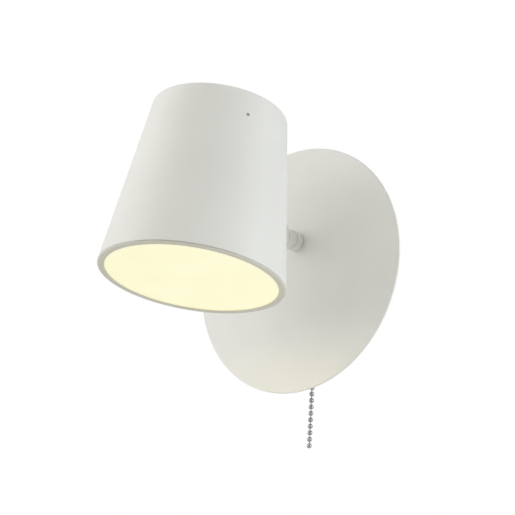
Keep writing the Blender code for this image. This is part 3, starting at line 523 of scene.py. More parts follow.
def spread(look, source, low, high, start=0.35, end=0.65):
    """Maps a pattern onto a range of values."""
    inputs = {"Value": source, "From Min": start, "From Max": end, "To Min": low, "To Max": high}
    return add_node(look, "ShaderNodeMapRange", inputs).outputs["Result"]


def tones(look, source, colours, start=0.35, end=0.65):
    """Maps a pattern onto colours."""
    ramp = add_node(look, "ShaderNodeValToRGB", {"Fac": source})
    stops = ramp.color_ramp.elements
    stops[0].position, stops[1].position = start, end
    stops[0].color, stops[1].color = (*colours[0], 1), (*colours[-1], 1)
    for k, colour in enumerate(colours[1:-1], 1):
        stops.new(start + (end - start) * k / (len(colours) - 1)).color = (*colour, 1)
    return ramp.outputs["Color"]


def surface(name, colours, roughness, relief, metallic=0.0, cloud=18.0, stretch=(1, 1, 1), sockets=None):
    """A material with slow changes of colour, quicker ones of roughness, and a fine bump.

    cloud is the size of the colour pattern, and relief the size and depth of the bump, in millimetres.
    """
    look = bpy.data.materials.new(name)
    look.use_nodes = True
    inputs = look.node_tree.nodes["Principled BSDF"].inputs
    inputs["Metallic"].default_value = metallic
    for socket, value in (sockets or {}).items():
        inputs[socket].default_value = value
    link = look.node_tree.links.new
    link(tones(look, grain(look, cloud, 3.0), colours), inputs["Base Color"])
    link(spread(look, grain(look, cloud / 6, 4.0, stretch), *roughness), inputs["Roughness"])
    size, depth = relief
    bump = {"Height": grain(look, size, 2.0, stretch), "Strength": 1.0, "Distance": depth * MM}
    link(add_node(look, "ShaderNodeBump", bump).outputs["Normal"], inputs["Normal"])
    return look


def powder_coat(name, colour):
    """Satin powder coat: a fine orange peel over a nearly even colour."""
    darker = tuple(0.975 * part for part in colour)
    return surface(name, (darker, colour), (0.40, 0.50), (1.1, 0.006), cloud=35.0,
                   sockets={"Specular IOR Level": 0.42})


def metal(name, colours, roughness, relief=(0.4, 0.002), stretch=(1, 1, 1), cloud=5.0):
    return surface(name, colours, roughness, relief, 1.0, cloud, stretch)


def moulding(name, colour, roughness=(0.42, 0.55), relief=(0.22, 0.012)):
    """Moulded plastic with a fine spark-eroded texture."""
    lighter = tuple(min(1.0, 1.08 * part + 0.004) for part in colour)
    return surface(name, (colour, lighter), roughness, relief, cloud=9.0)


def insulation(name, colour):
    """Soft PVC insulation."""
    lighter = tuple(min(1.0, 1.12 * part + 0.005) for part in colour)
    return surface(name, (colour, lighter), (0.30, 0.45), (0.5, 0.008), cloud=4.0)


def opal_look():
    """Lit opal acrylic: an even warm glow with the faintest cloudiness, under a satin face."""
    look = surface("opal_diffuser", ((0.50, 0.485, 0.39), (0.54, 0.52, 0.42)), (0.34, 0.42), (0.7, 0.004),
                   sockets={"Emission Strength": 0.58})
    inputs = look.node_tree.nodes["Principled BSDF"].inputs
    glow = tones(look, grain(look, 30.0, 2.0), ((1.0, 0.955, 0.59), (1.0, 0.975, 0.63)))
    look.node_tree.links.new(glow, inputs["Emission Color"])
    return look


def circuit_look():
    """Green solder mask over branching copper tracks."""
    look = surface("driver_board", ((0.02, 0.17, 0.07), (0.03, 0.21, 0.09)), (0.25, 0.4), (0.8, 0.01))
    inputs = look.node_tree.nodes["Principled BSDF"].inputs
    tracks = cells(look, 3.4, "DISTANCE_TO_EDGE").outputs["Distance"]
    mask = tones(look, tracks, ((0.06, 0.34, 0.13), (0.02, 0.18, 0.07)), 0.05, 0.07)
    look.node_tree.links.new(mask, inputs["Base Color"])
    return look


def zinc_look():
    """Zinc plate: small crystals that each catch the light a little differently."""
    look = metal("zinc", ((0.52, 0.53, 0.54), (0.62, 0.63, 0.64)), (0.32, 0.46), (0.5, 0.004))
    inputs = look.node_tree.nodes["Principled BSDF"].inputs
    crystals = cells(look, 1.6).outputs["Color"]
    split = add_node(look, "ShaderNodeSeparateColor", {"Color": crystals}).outputs["Red"]
    spangle = tones(look, split, ((0.50, 0.51, 0.53), (0.60, 0.61, 0.62), (0.66, 0.66, 0.67)), 0.0, 1.0)
    look.node_tree.links.new(spangle, inputs["Base Color"])
    return look


LOOKS = {
    "white_paint": powder_coat("white_paint", (0.83, 0.825, 0.80)),
    # The rim ring is white like the shade. This darker, olive copy of the white paint is painted shade on the
    # ring's downward faces, tinted with painted warm light from the lamp.
    "bezel_paint": powder_coat("bezel_paint", (0.68, 0.67, 0.585)),
    "opal_diffuser": opal_look(),
    "reflector_white": moulding("reflector_white", (0.88, 0.88, 0.87), (0.55, 0.65)),
    "nickel": metal("nickel", ((0.36, 0.36, 0.37), (0.44, 0.44, 0.445)), (0.12, 0.22), (0.8, 0.003)),
    "zinc": zinc_look(),
    "aluminium": metal("aluminium", ((0.66, 0.67, 0.68), (0.76, 0.77, 0.78)), (0.36, 0.5), (0.35, 0.015)),
    "brass": metal("brass", ((0.70, 0.50, 0.20), (0.80, 0.60, 0.28)), (0.22, 0.36), (0.6, 0.004)),
    "copper": metal("copper", ((0.72, 0.38, 0.24), (0.82, 0.48, 0.33)), (0.22, 0.36), (0.25, 0.004),
                    (1, 9, 1)),
    "led_board": surface("led_board", ((0.84, 0.84, 0.82), (0.90, 0.90, 0.88)), (0.3, 0.42), (1.2, 0.01)),
    "driver_board": circuit_look(),
    "driver_plastic": moulding("driver_plastic", (0.80, 0.80, 0.78)),
    "switch_plastic": moulding("switch_plastic", (0.016, 0.016, 0.018), (0.38, 0.52)),
    "natural_plastic": moulding("natural_plastic", (0.76, 0.73, 0.63), (0.32, 0.45), (0.6, 0.01)),
    "wire_brown": insulation("wire_brown", (0.17, 0.066, 0.028)),
    "wire_blue": insulation("wire_blue", (0.02, 0.11, 0.48)),
    "wire_green": insulation("wire_green", (0.03, 0.28, 0.05)),
    "wire_grey": insulation("wire_grey", (0.52, 0.52, 0.52)),
}
EARTH_YELLOW = insulation("earth_yellow", (0.83, 0.66, 0.03))
BLACK_PARTS = moulding("black_parts", (0.02, 0.02, 0.022), (0.3, 0.42))
LED_PHOSPHOR = surface("led_phosphor", ((0.86, 0.62, 0.10), (0.92, 0.70, 0.16)), (0.35, 0.45), (0.5, 0.01))


# ---------------------------------------------------------------- camera, lights and floor

def plate_view(right, up, towards):
    """A place given in the camera's own directions, in millimetres from the middle of the plate's front."""
    offset = VIEW.col[0] * right + VIEW.col[1] * up + VIEW.col[2] * towards
    return Vector((0, -DISC_OUT * MM, 0)) + offset * MM


def view_axes():
    """The camera's right, up and back directions, as the columns of a matrix."""
    turn, rise, roll = (math.radians(angle) for angle in (CAMERA_TURN, CAMERA_RISE, CAMERA_ROLL))
    forward = Vector((-math.sin(turn) * math.cos(rise), math.cos(turn) * math.cos(rise), math.sin(rise)))
    level = Vector((math.cos(turn), math.sin(turn), 0))
    top = level.cross(forward)
    right = math.cos(roll) * level + math.sin(roll) * top
    up = math.cos(roll) * top - math.sin(roll) * level
    return Matrix((right, up, -forward)).transposed()


VIEW = view_axes()


def add_camera():
    data = bpy.data.cameras.new("camera")
    data.sensor_width = 36.0
    data.lens = CAMERA_LENS
    data.clip_start = 0.05
    data.clip_end = 20.0
    camera = bpy.data.objects.new("camera", data)
    bpy.context.scene.collection.objects.link(camera)
    place = plate_view(-PLATE_TO_THE_RIGHT, PLATE_BELOW, CAMERA_DISTANCE)
    camera.matrix_world = Matrix.Translation(place) @ VIEW.to_4x4()
    bpy.context.scene.camera = camera


def new_light(name, shape, power, colour):
    """An area light that the camera doesn't see."""
    data = bpy.data.lights.new(name, "AREA")
    data.shape = shape
    data.energy = power
    data.color = colour
    light = bpy.data.objects.new(name, data)
    bpy.context.scene.collection.objects.link(light)
    light.visible_camera = False
    return light


def add_softbox(name, place, size, power, colour):
    """A rectangular light that faces LIT_POINT."""
    light = new_light(name, "RECTANGLE", power, colour)
    light.data.size, light.data.size_y = size
    light.location = place
    light.rotation_euler = (Vector(LIT_POINT) - Vector(place)).to_track_quat("-Z", "Y").to_euler()


def add_lobe(world, direction, colour):
    """Soft light from one side of the room: the squared cosine of the angle to that side, times a colour."""
    place = add_node(world, "ShaderNodeTexCoord").outputs["Generated"]
    inputs = {0: place, 1: VIEW @ Vector(direction)}
    facing = add_node(world, "ShaderNodeVectorMath", inputs, operation="DOT_PRODUCT").outputs["Value"]
    lit_half = add_node(world, "ShaderNodeMath", {0: facing, 1: 0.0}, operation="MAXIMUM").outputs[0]
    squared = add_node(world, "ShaderNodeMath", {0: lit_half, 1: 2.0}, operation="POWER").outputs[0]
    inputs = {0: colour, "Scale": squared}
    return add_node(world, "ShaderNodeVectorMath", inputs, operation="SCALE").outputs["Vector"]


def add_world():
    """A white room behind the light, lit softly from the sides named in ROOM_SIDES."""
    world = bpy.data.worlds.new("studio")
    bpy.context.scene.world = world
    world.use_nodes = True
    world.node_tree.nodes.clear()
    total = (0, 0, 0)
    for direction, colour in ROOM_SIDES:
        inputs = {0: total, 1: add_lobe(world, direction, colour)}
        total = add_node(world, "ShaderNodeVectorMath", inputs, operation="ADD").outputs["Vector"]
    room = add_node(world, "ShaderNodeBackground", {"Color": total, "Strength": 1.0}).outputs[0]
    white = add_node(world, "ShaderNodeBackground", {"Color": (1, 1, 1, 1), "Strength": 1.0}).outputs[0]
    seen = add_node(world, "ShaderNodeLightPath").outputs["Is Camera Ray"]
    mixed = add_node(world, "ShaderNodeMixShader", {"Fac": seen, 1: room, 2: white}).outputs[0]
    add_node(world, "ShaderNodeOutputWorld", {"Surface": mixed})


def add_floor():
    """A plain pale floor, well below the light."""
    shape = bmesh.new()
    shape.faces.new([shape.verts.new((x, y, FLOOR_Z)) for x, y in rectangle(FLOOR_HALF, FLOOR_HALF)])
    floor = new_object("floor", shape, Matrix())
    colours = ((0.90, 0.90, 0.90), (0.93, 0.93, 0.92))
    floor.data.materials.append(surface("floor", colours, (0.7, 0.85), (3.0, 0.05), cloud=300.0))


bpy.context.scene.view_settings.view_transform = "Standard"
bpy.context.scene.view_settings.look = "None"
add_camera()
add_world()
add_floor()
for softbox in SOFTBOXES:
    add_softbox(*softbox)


# ---------------------------------------------------------------- pull chain

def bead_chain():
    """Hollow beads on short dumbbell links, hanging straight from a crimped end in the switch's plunger."""
    lip = LINK_RADIUS + 0.12
    mouth = math.degrees(math.asin(lip / BEAD_RADIUS))
    shape = bmesh.new()
    for k in range(BEAD_COUNT):
        centre = CHAIN_END + BEAD_RADIUS + k * BEAD_PITCH
        bead = arc((0, centre), BEAD_RADIUS, mouth - 90, 90 - mouth, 17)
        low, high = bead[0][1] + 0.25, bead[-1][1] - 0.25
        add_shape(shape, lathe([(0, low), (lip, low)] + bead + [(lip, high), (0, high)], 28))
        if k:
            add_shape(shape, rod(LINK_RADIUS, centre - BEAD_PITCH + LINK_START, centre - LINK_START, 16))
    top_bead = CHAIN_END + BEAD_RADIUS + (BEAD_COUNT - 1) * BEAD_PITCH
    add_shape(shape, rod(LINK_RADIUS, top_bead + LINK_START, CHAIN_TOP - 0.4, 16))
    crimp = [(0, CHAIN_TOP - 2.0), (0.8, CHAIN_TOP - 2.0), (CRIMP_RADIUS, CHAIN_TOP - 1.7),
             (CRIMP_RADIUS, CHAIN_TOP - 0.2), (0.9, CHAIN_TOP), (0, CHAIN_TOP)]
    add_shape(shape, lathe(crimp, 28))
    chain = piece("bead_chain", shape, CHAIN_LINE, "pull_chain")


bead_chain()


# ---------------------------------------------------------------- bracket, housing and plate

def stud_places():
    """Where the studs stand behind the round plate, as (x, z)."""
    return [polar(STUD_CIRCLE, angle) for angle in STUD_ANGLES]


def wall_bracket():
    """A pressed steel strap with shouldered ends and two bent tabs."""
    outer = STRAP_HALF_LENGTH
    inner = outer - STRAP_THICKNESS
    bend = 2.4
    right = [(outer, TAB_REACH - 1), (outer - 0.4, TAB_REACH), (inner + 0.4, TAB_REACH),
             (inner, TAB_REACH - 1), (inner, STRAP_THICKNESS + 0.4), (inner - 0.4, STRAP_THICKNESS)]
    left = [(-x, out) for x, out in reversed(right)]
    bottom = arc((-outer + bend, bend), bend, 180, 270, 6) + arc((outer - bend, bend), bend, 270, 360, 6)
    half = STRAP_HALF_WIDTH
    shape = prism([(x, -out) for x, out in right + left + bottom], -half, half)
    bracket = piece("bracket_strap", shape, Matrix(), "wall_bracket")
    tab = TAB_HALF_WIDTH
    outline = [(38, -half), (outer + 1, -tab + 0.6), (outer + 1, tab - 0.6), (38, half),
               (-38, half), (-outer - 1, tab - 0.6), (-outer - 1, -tab + 0.6), (-38, -half)]
    keep_inside(bracket, prism(outline, -1, TAB_REACH + 1), place=outward())
    for side in (1, -1):
        slot = (arc((side * WALL_SLOT_X + WALL_SLOT_HALF, 0), WALL_SLOT_RADIUS, -90, 90, 13)
                + arc((side * WALL_SLOT_X - WALL_SLOT_HALF, 0), WALL_SLOT_RADIUS, 90, 270, 13))
        cut(bracket, prism(slot, -1, STRAP_THICKNESS + 1), place=outward())
        hole = rod(SIDE_HOLE_RADIUS, *sorted((side * 40, side * 50)))
        cut(bracket, hole, place=sideways(SIDE_SCREW_OUT, 0))
    cut(bracket, rod(EARTH_HOLE_RADIUS, -1, STRAP_THICKNESS + 1), place=outward(EARTH_X, 0))
    soften(bracket, 0.25)


def knurl(start, ridges, depth):
    """A wave that cuts straight knurls outside the radius start."""
    def bend(angle, radius, height):
        groove = depth * (0.5 + 0.5 * math.cos(ridges * angle)) if radius > start else 0
        return radius - groove, height
    return bend


def earth_clamp():
    """The earth screw on the bracket, and the copper lug under its head."""
    place = outward(EARTH_X, 0)
    head = [(0, 4.35), (0.9, 4.35)] + arc((2.6, 3.35), 1.2, 80, 0, 6) + [(3.8, 2.75), (3.7, 2.6)]
    profile = [(0, 0.2)] + thread(2.0, 0.25, 2.6, 0.6, 0.25) + head[::-1]
    screw = piece("earth_clamp_screw", lathe(profile, SMALL), place, "earth_screw")
    for turn in (35, 125):
        slot = prism(rectangle(2.1, 0.42), 3.3, 6)
        slot.transform(Matrix.Rotation(math.radians(turn), 4, "Z"))
        cut(screw, slot)
    soften(screw, 0.1)
    copper = LOOKS["copper"]
    ring = lathe(ring_profile(2.25, 3.9, 2.06, 2.52, 0.1), SMALL)
    lug = piece("earth_lug", ring, place, body="base", looks=[copper])
    barrel = [Vector((EARTH_X + x, -out, z)) for x, out, z in
              ((-3.3, 2.35, 0.3), (-4.0, 2.7, 0.8), (-4.8, 3.4, 1.8), (-6.2, 3.7, 2.9))]
    sleeve = piece("earth_lug_barrel", tube(barrel, 1.05, 20), body="base", looks=[copper, copper])


def side_thumb_screws():
    """The two knurled screws through the housing's wall into the bracket's tabs."""
    for name, side in (("right", 1), ("left", -1)):
        profile = ([(0, 42.6)] + thread(1.9, 42.7, 48.0, 0.7, 0.25)
                   + [(1.7, 48.4), (3.6, 48.4), (4.0, 48.8), (4.0, 51.2)]
                   + [(3.7, 51.6), (3.2, 51.9), (0, 52.0)])
        shape = lathe([(radius, side * height) for radius, height in profile], 160, knurl(3.95, 40, 0.22))
        screw = piece(f"side_thumb_screw_{name}", shape, sideways(SIDE_SCREW_OUT, 0), f"side_screw_{name}")
        cut(screw, prism(rectangle(5, 0.5), *sorted((side * 51.0, side * 53))))


def base_housing():
    """The drawn steel cup behind the plate, with the holes for what passes through it and the stop pin."""
    edge = 1.5
    front, inside = HOUSING_FRONT, FRONT_WALL_INSIDE
    radius, inner = HOUSING_RADIUS, HOUSING_RADIUS - HOUSING_WALL
    levels = [HOUSING_BACK + 1 + 3.0 * k for k in range(10)]
    profile = (arc((radius - 0.4, HOUSING_BACK + 0.4), 0.4, 270, 360, 5)
               + [(radius, level) for level in levels]
               + arc((radius - edge, front - edge), edge, 0, 90, 8)
               + [(radius - 3, front), (0, front), (0, inside), (inner - 2, inside)]
               + arc((inner - 0.8, inside - 0.8), 0.8, 90, 0, 5)
               + [(inner, level) for level in reversed(levels)]
               + arc((inner + 0.4, HOUSING_BACK + 0.4), 0.4, 180, 270, 5))
    cup = piece("housing_cup", lathe(profile), outward(), "base_housing")
    cut(cup, rod(CLEAR_SPINDLE, 30, 35), place=ALONG_ARM)
    for x, z in stud_places():
        cut(cup, rod(STUD_RADIUS + GAP, 30, 35), place=outward(x, z))
    cut(cup, rod(NOZZLE_RADIUS + GAP, -50, -44), place=CHAIN_LINE)
    for low, high in ((44, 50), (-50, -44)):
        cut(cup, rod(SIDE_HOLE_RADIUS, low, high), place=sideways(SIDE_SCREW_OUT, 0))
    pin = lathe([(0, 29.9), (0.8, 29.9), (1.0, 30.1), (1.0, 32.5), (0, 32.5)], TINY)
    fuse(cup, pin, place=outward(0, ARM_Z - STOP_PIN_OFFSET))


def front_disc():
    """The flat round plate, with a rolled edge, the spindle's hole and three threaded studs on its back."""
    edge = 0.55
    margin = DISC_RADIUS - edge
    profile = ([(0, DISC_BACK), (margin - 0.3, DISC_BACK)]
               + arc((margin, DISC_BACK + edge), edge, 270, 360, 6)
               + arc((margin, DISC_OUT - edge), edge, 0, 90, 6)
               + [(margin - 0.3, DISC_OUT), (0, DISC_OUT)])
    disc = piece("round_plate", lathe(profile, 256), outward(), "front_disc")
    cut(disc, rod(CLEAR_SPINDLE, 30, 40), place=ALONG_ARM)
    for x, z in stud_places():
        stud = ([(0, STUD_END), (1.1, STUD_END)] + thread(STUD_RADIUS, STUD_END + 0.4, 33.0, 0.5, 0.2)
                + [(1.5, 33.2), (1.5, 33.9), (0, 33.9)])
        fuse(disc, lathe(stud, TINY), place=outward(x, z))


def hex_nut(name, node, place, corner, hole, low, high):
    """A hexagon nut, chamfered on both sides, with a threaded hole."""
    nut = piece(name, prism(hexagon(corner), low, high), place, node)
    flat = 0.866 * corner
    chamfer = (corner - flat) * 0.8
    reach = corner + 0.05
    keep_inside(nut, lathe([(0, low), (flat, low), (reach, low + chamfer), (reach, high - chamfer),
                            (flat, high), (0, high)], 96))
    wide = hole + 0.5
    bore = [(0, low - 1), (wide, low - 1), (wide, low), (hole, low + 0.5), (hole, high - 0.5),
            (wide, high), (wide, high + 1), (0, high + 1)]
    cut(nut, lathe(bore, 48))


def arm_collar():
    """The fixed ring between the plate and the turning arm, on a narrower foot."""
    low, high = DISC_OUT + GAP, DISC_OUT + GAP + COLLAR_LENGTH
    foot = low + COLLAR_FOOT
    edge = 0.2
    profile = ([(CLEAR_SPINDLE, low), (COLLAR_FOOT_RADIUS, low), (COLLAR_FOOT_RADIUS, foot)]
               + arc((COLLAR_RADIUS - edge, foot + edge), edge, 270, 360, 4)
               + arc((COLLAR_RADIUS - COLLAR_CHAMFER, high - COLLAR_CHAMFER), COLLAR_CHAMFER, 0, 90, 5)
               + [(CLEAR_SPINDLE, high)])
    piece("swivel_collar", lathe(profile, ROUND), ALONG_ARM, "arm_collar")


wall_bracket()
earth_clamp()
side_thumb_screws()
base_housing()
front_disc()
arm_collar()
for number, (stud_x, stud_z) in enumerate(stud_places(), 1):
    hex_nut(f"plate_nut_{number}", f"stud_nut_{number}", outward(stud_x, stud_z), 3.2, STUD_RADIUS + 0.1,
            FRONT_WALL_INSIDE - GAP - STUD_NUT_HEIGHT, FRONT_WALL_INSIDE - GAP)


# ---------------------------------------------------------------- swivel and knuckle

def swivel_pieces():
    """The hollow threaded spindle with its stop washer, wave washer and nut."""
    outside = thread(SPINDLE_RADIUS, SPINDLE_BACK + 0.4, 36.4, 0.75, 0.3)
    profile = ([(SPINDLE_BORE + 0.3, SPINDLE_BACK), (SPINDLE_RADIUS - 0.5, SPINDLE_BACK)] + outside
               + [(SPINDLE_RADIUS, 37.0), (SPINDLE_RADIUS, SPINDLE_FRONT), (SPINDLE_BORE, SPINDLE_FRONT),
                  (SPINDLE_BORE, SPINDLE_BACK + 0.3)])
    piece("threaded_spindle", lathe(profile, SMALL), ALONG_ARM, "swivel_spindle")
    high = FRONT_WALL_INSIDE - GAP
    ring = lathe(ring_profile(CLEAR_SPINDLE, 6.6, high - 1.0, high, 0.12), 96)
    washer = piece("swivel_stop_washer", ring, ALONG_ARM, "stop_washer")
    tab = [(-1.2, 6.0), (1.2, 6.0), (1.2, 9.0), (0.8, 9.4), (-0.8, 9.4), (-1.2, 9.0)]
    fuse(washer, prism(tab, high - 0.97, high - 0.03))
    high -= 1.0 + GAP

    def wave(angle, radius, height):
        return radius, height + 0.16 * math.cos(3 * angle)

    spring = lathe(ring_profile(CLEAR_SPINDLE, 7.2, high - 0.62, high - 0.18, 0.1), 120, wave)
    piece("swivel_wave_washer", spring, ALONG_ARM, "friction_washer")
    high -= 0.8 + GAP
    hex_nut("swivel_nut", "spindle_nut", ALONG_ARM, 8.0, SPINDLE_RADIUS + 0.1, high - 3.7, high)


def add_half_drum(stem, side, recess):
    """Ends a stem in one half of the knuckle drum, with a ring-shaped space for the wire."""
    inside_wall = (DRUM_CAVITY + DRUM_RADIUS) / 2
    cut(stem, rod(inside_wall, -9, 9, 96), place=ACROSS)
    cut(stem, rod(DRUM_RADIUS + GAP, *sorted((-side * 9, side * (DRUM_PLAY + 0.1))), steps=98), place=ACROSS)
    hole, top = PIVOT_HOLE_RADIUS, DRUM_RADIUS
    low, high = DRUM_PLAY, DRUM_HALF
    recess_radius, floor = recess
    outline = ([(hole, low), (HUB_RADIUS, low), (HUB_RADIUS, DRUM_FLOOR), (DRUM_CAVITY, DRUM_FLOOR),
                (DRUM_CAVITY, low), (top - 0.25, low), (top, low + 0.25), (top, high - 0.9)]
               + arc((top - 0.8, high - 0.8), 0.8, 0, 90, 6)
               + [(recess_radius + 0.2, high), (recess_radius, high - 0.2), (recess_radius, floor),
                  (hole, floor)])
    fuse(stem, lathe([(radius, side * height) for radius, height in outline], 112), place=ACROSS)


def arm_knuckle():
    """The arm: a round stem from the collar, ending in the knuckle's left half drum."""
    step, start = COLLAR_CHAMFER, ARM_START
    profile = [(0, start), (ARM_RADIUS - step - 0.1, start), (ARM_RADIUS - step + 0.04, start + 0.06),
               (ARM_RADIUS - 0.04, start + step), (ARM_RADIUS, start + step + 0.2),
               (ARM_RADIUS, PIVOT_OUT - 3), (0, PIVOT_OUT - 3)]
    arm = piece("arm_with_drum", lathe(profile, ROUND), ALONG_ARM, "arm_knuckle")
    add_half_drum(arm, -1, (3.5, 4.0))
    chamber_end = PIVOT_OUT - DRUM_RADIUS - 1.7
    cut(arm, rod(CLEAR_SPINDLE, ARM_START - 1, chamber_end))
    offset = outward(-WIRE_HOLE_OFFSET, ARM_Z + WIRE_HOLE_OFFSET)
    cut(arm, rod(WIRE_HOLE_RADIUS, chamber_end - 1.7, PIVOT_OUT - 4, TINY), place=offset)
    hex_nut("knuckle_nut", "pivot_nut", ACROSS, 3.1, 1.6, -6.1, -4.3)


def shade_radius(height, inset=0.0):
    """The shade's outer radius at a height over the rim plane, less an inset."""
    return SHADE_RIM_RADIUS - SHADE_TAPER * height - inset


def shade_outside(grow=0.0):
    """The outer side of the shade as profile points, from the rim up to the middle of its top."""
    top = SHADE_HEIGHT + grow
    lean = math.degrees(math.atan(SHADE_TAPER))
    radius = 2.0
    centre = (shade_radius(top - radius) + grow - radius / math.cos(math.radians(lean)), top - radius)
    return ([(shade_radius(level) + grow, level) for level in SHADE_LEVELS] + arc(centre, radius, lean, 90, 9)
            + [(centre[0] - 0.5, top), (0, top)])


def head_knuckle():
    """The head's right half drum, its stem to the shade, and the hollow threaded tip inside the shade."""
    stem = rod(ARM_RADIUS, PIVOT_OUT + 3, PIVOT_OUT + 25, ROUND)
    head = piece("head_with_drum", stem, ALONG_ARM, "head_knuckle")
    cut(head, lathe([(SHADE_RIM_RADIUS + 2, -8)] + shade_outside(GAP) + [(0, -8)], 160), place=SHADE)
    add_half_drum(head, 1, (3.2, 3.8))
    tip = ([(0, PIVOT_OUT + 15), (SPINDLE_RADIUS, PIVOT_OUT + 15)]
           + thread(SPINDLE_RADIUS, PIVOT_OUT + 19.8, STEM_TIP_OUT - 0.3, 0.75, 0.3)
           + [(SPINDLE_RADIUS - 0.5, STEM_TIP_OUT), (0, STEM_TIP_OUT)])
    fuse(head, lathe(tip, SMALL))
    bore_start = PIVOT_OUT + DRUM_RADIUS + 1.4
    cut(head, rod(SPINDLE_BORE, bore_start, STEM_TIP_OUT + 1))
    offset = outward(WIRE_HOLE_OFFSET, ARM_Z + WIRE_HOLE_OFFSET)
    cut(head, rod(WIRE_HOLE_RADIUS, PIVOT_OUT + 4, bore_start + 3.5, TINY), place=offset)


def knuckle_fixings():
    """The knuckle's socket screw and spring washer, and the washer and nut inside the shade."""
    profile = ([(0, -5.9), (1.2, -5.9)] + thread(1.5, -5.6, -1.0, 0.5, 0.2)
               + [(1.5, -0.8), (1.5, 4.9), (2.9, 4.9)]
               + arc((2.5, 5.9), 0.4, 0, 90, 5) + [(1.6, 6.3), (0, 6.3)])
    screw = piece("knuckle_screw", lathe(profile, 72), ACROSS, "pivot_screw")
    cut(screw, prism(hexagon(1.3), 5.2, 7))
    ring = lathe(ring_profile(PIVOT_HOLE_RADIUS, 2.9, 4.1, 4.6, 0.1), SMALL)
    piece("knuckle_washer", ring, ACROSS, "pivot_washer")
    low = PIVOT_OUT + 20.4
    ring = lathe(ring_profile(CLEAR_SPINDLE, 8.5, low, low + 1.0, 0.12), 96)
    piece("shade_washer", ring, ALONG_ARM, "stem_washer")
    hex_nut("shade_nut", "stem_nut", ALONG_ARM, 8.0, SPINDLE_RADIUS + 0.1, low + 1.3, low + 4.8)


swivel_pieces()
arm_knuckle()
head_knuckle()
knuckle_fixings()


# ---------------------------------------------------------------- head

def shade_shell():
    """The spun cone, with a rounded top edge, the stem's hole and three set screw holes."""
    ceiling = SHADE_HEIGHT - SHADE_WALL
    outer, inner = shade_radius(SHADE_EDGE), shade_radius(SHADE_EDGE, SHADE_WALL)
    edge = 0.15
    inside = [(0, ceiling), (shade_radius(ceiling, SHADE_WALL) - 1.2, ceiling)]
    inside += [(shade_radius(level, SHADE_WALL), level) for level in (ceiling - 1.0, *reversed(SHADE_LEVELS))]
    lip = (arc((inner + edge, SHADE_EDGE + edge), edge, 180, 270, 4)
           + arc((outer - edge, SHADE_EDGE + edge), edge, 270, 350, 4))
    cone = piece("shade_cone", lathe(lip + shade_outside() + inside, FINE), SHADE, "shade_shell")
    cut(cone, rod(CLEAR_SPINDLE, PIVOT_OUT + 15, PIVOT_OUT + 26), place=ALONG_ARM)
    for angle in SET_SCREW_ANGLES:
        cut(cone, rod(SET_HOLE_RADIUS, 35, 50, TINY), place=radial(SHADE, angle, SET_SCREW_HEIGHT + 0.2))


def set_screws():
    """The small socket screws sunk below the shade's paint."""
    end = shade_radius(SET_SCREW_HEIGHT) - 0.5
    profile = ([(0, SET_SCREW_TIP), (0.5, SET_SCREW_TIP)]
               + thread(SET_SCREW_RADIUS, SET_SCREW_TIP + 0.4, end - 0.2, 0.4, 0.12)
               + [(0.75, end), (0, end)])
    for number, angle in enumerate(SET_SCREW_ANGLES, 1):
        place = radial(SHADE, angle, SET_SCREW_HEIGHT)
        screw = piece(f"shade_set_screw_{number}", lathe(profile, TINY), place, f"set_screw_{number}")
        cut(screw, prism(hexagon(0.4), end - 0.6, end + 1))


def bezel_and_diffuser():
    """The ring that closes the rim, rounded outside and skirted inside, and the opal disc above it."""
    flange_top = SHADE_EDGE - GAP
    foot = shade_radius(SHADE_EDGE, SHADE_WALL) - GAP
    head = shade_radius(BEZEL_SKIRT_TOP, SHADE_WALL) - GAP
    rim = shade_radius(flange_top)
    turn = [math.radians(angle) for angle in range(-90, 1, 15)]
    rounded = [(rim - BEZEL_ROUND * (1 - math.cos(a)), 0.55 + (0.55 - BEZEL_LOW) * math.sin(a)) for a in turn]
    section = ([(BEZEL_INNER, BEZEL_LEDGE - 0.1), (BEZEL_INNER + 0.1, BEZEL_LEDGE - 0.2)] + rounded
               + [(rim, flange_top - 0.05), (rim - 0.1, flange_top), (foot, flange_top)]
               + [(head, BEZEL_SKIRT_TOP), (head - BEZEL_SKIRT, BEZEL_SKIRT_TOP)]
               + [(foot - BEZEL_SKIRT, BEZEL_LEDGE), (BEZEL_INNER, BEZEL_LEDGE)])
    piece("bezel", lathe(section, FINE), SHADE, "bezel_ring")
    radius = shade_radius(DIFFUSER_HIGH, SHADE_WALL) - 2 * GAP - BEZEL_SKIRT
    edge = 0.4
    disc = ([(0, DIFFUSER_LOW), (radius - 1.0, DIFFUSER_LOW)]
            + arc((radius - edge, DIFFUSER_LOW + edge), edge, 270, 360, 5)
            + arc((radius - edge, DIFFUSER_HIGH - edge), edge, 0, 90, 5)
            + [(radius - 1.0, DIFFUSER_HIGH), (0, DIFFUSER_HIGH)])
    return piece("opal_disc", lathe(disc, FINE), SHADE, "diffuser")


def add_glow(disc):
    """The warm light that the lit disc throws on the plate. It rides along with the disc."""
    light = new_light("glow", "DISK", GLOW_POWER, GLOW_COLOUR)
    light.data.size = 2 * BEZEL_INNER * MM
    light.parent = disc
    light.location = (0, 0, (BEZEL_LOW - 1.0) * MM)


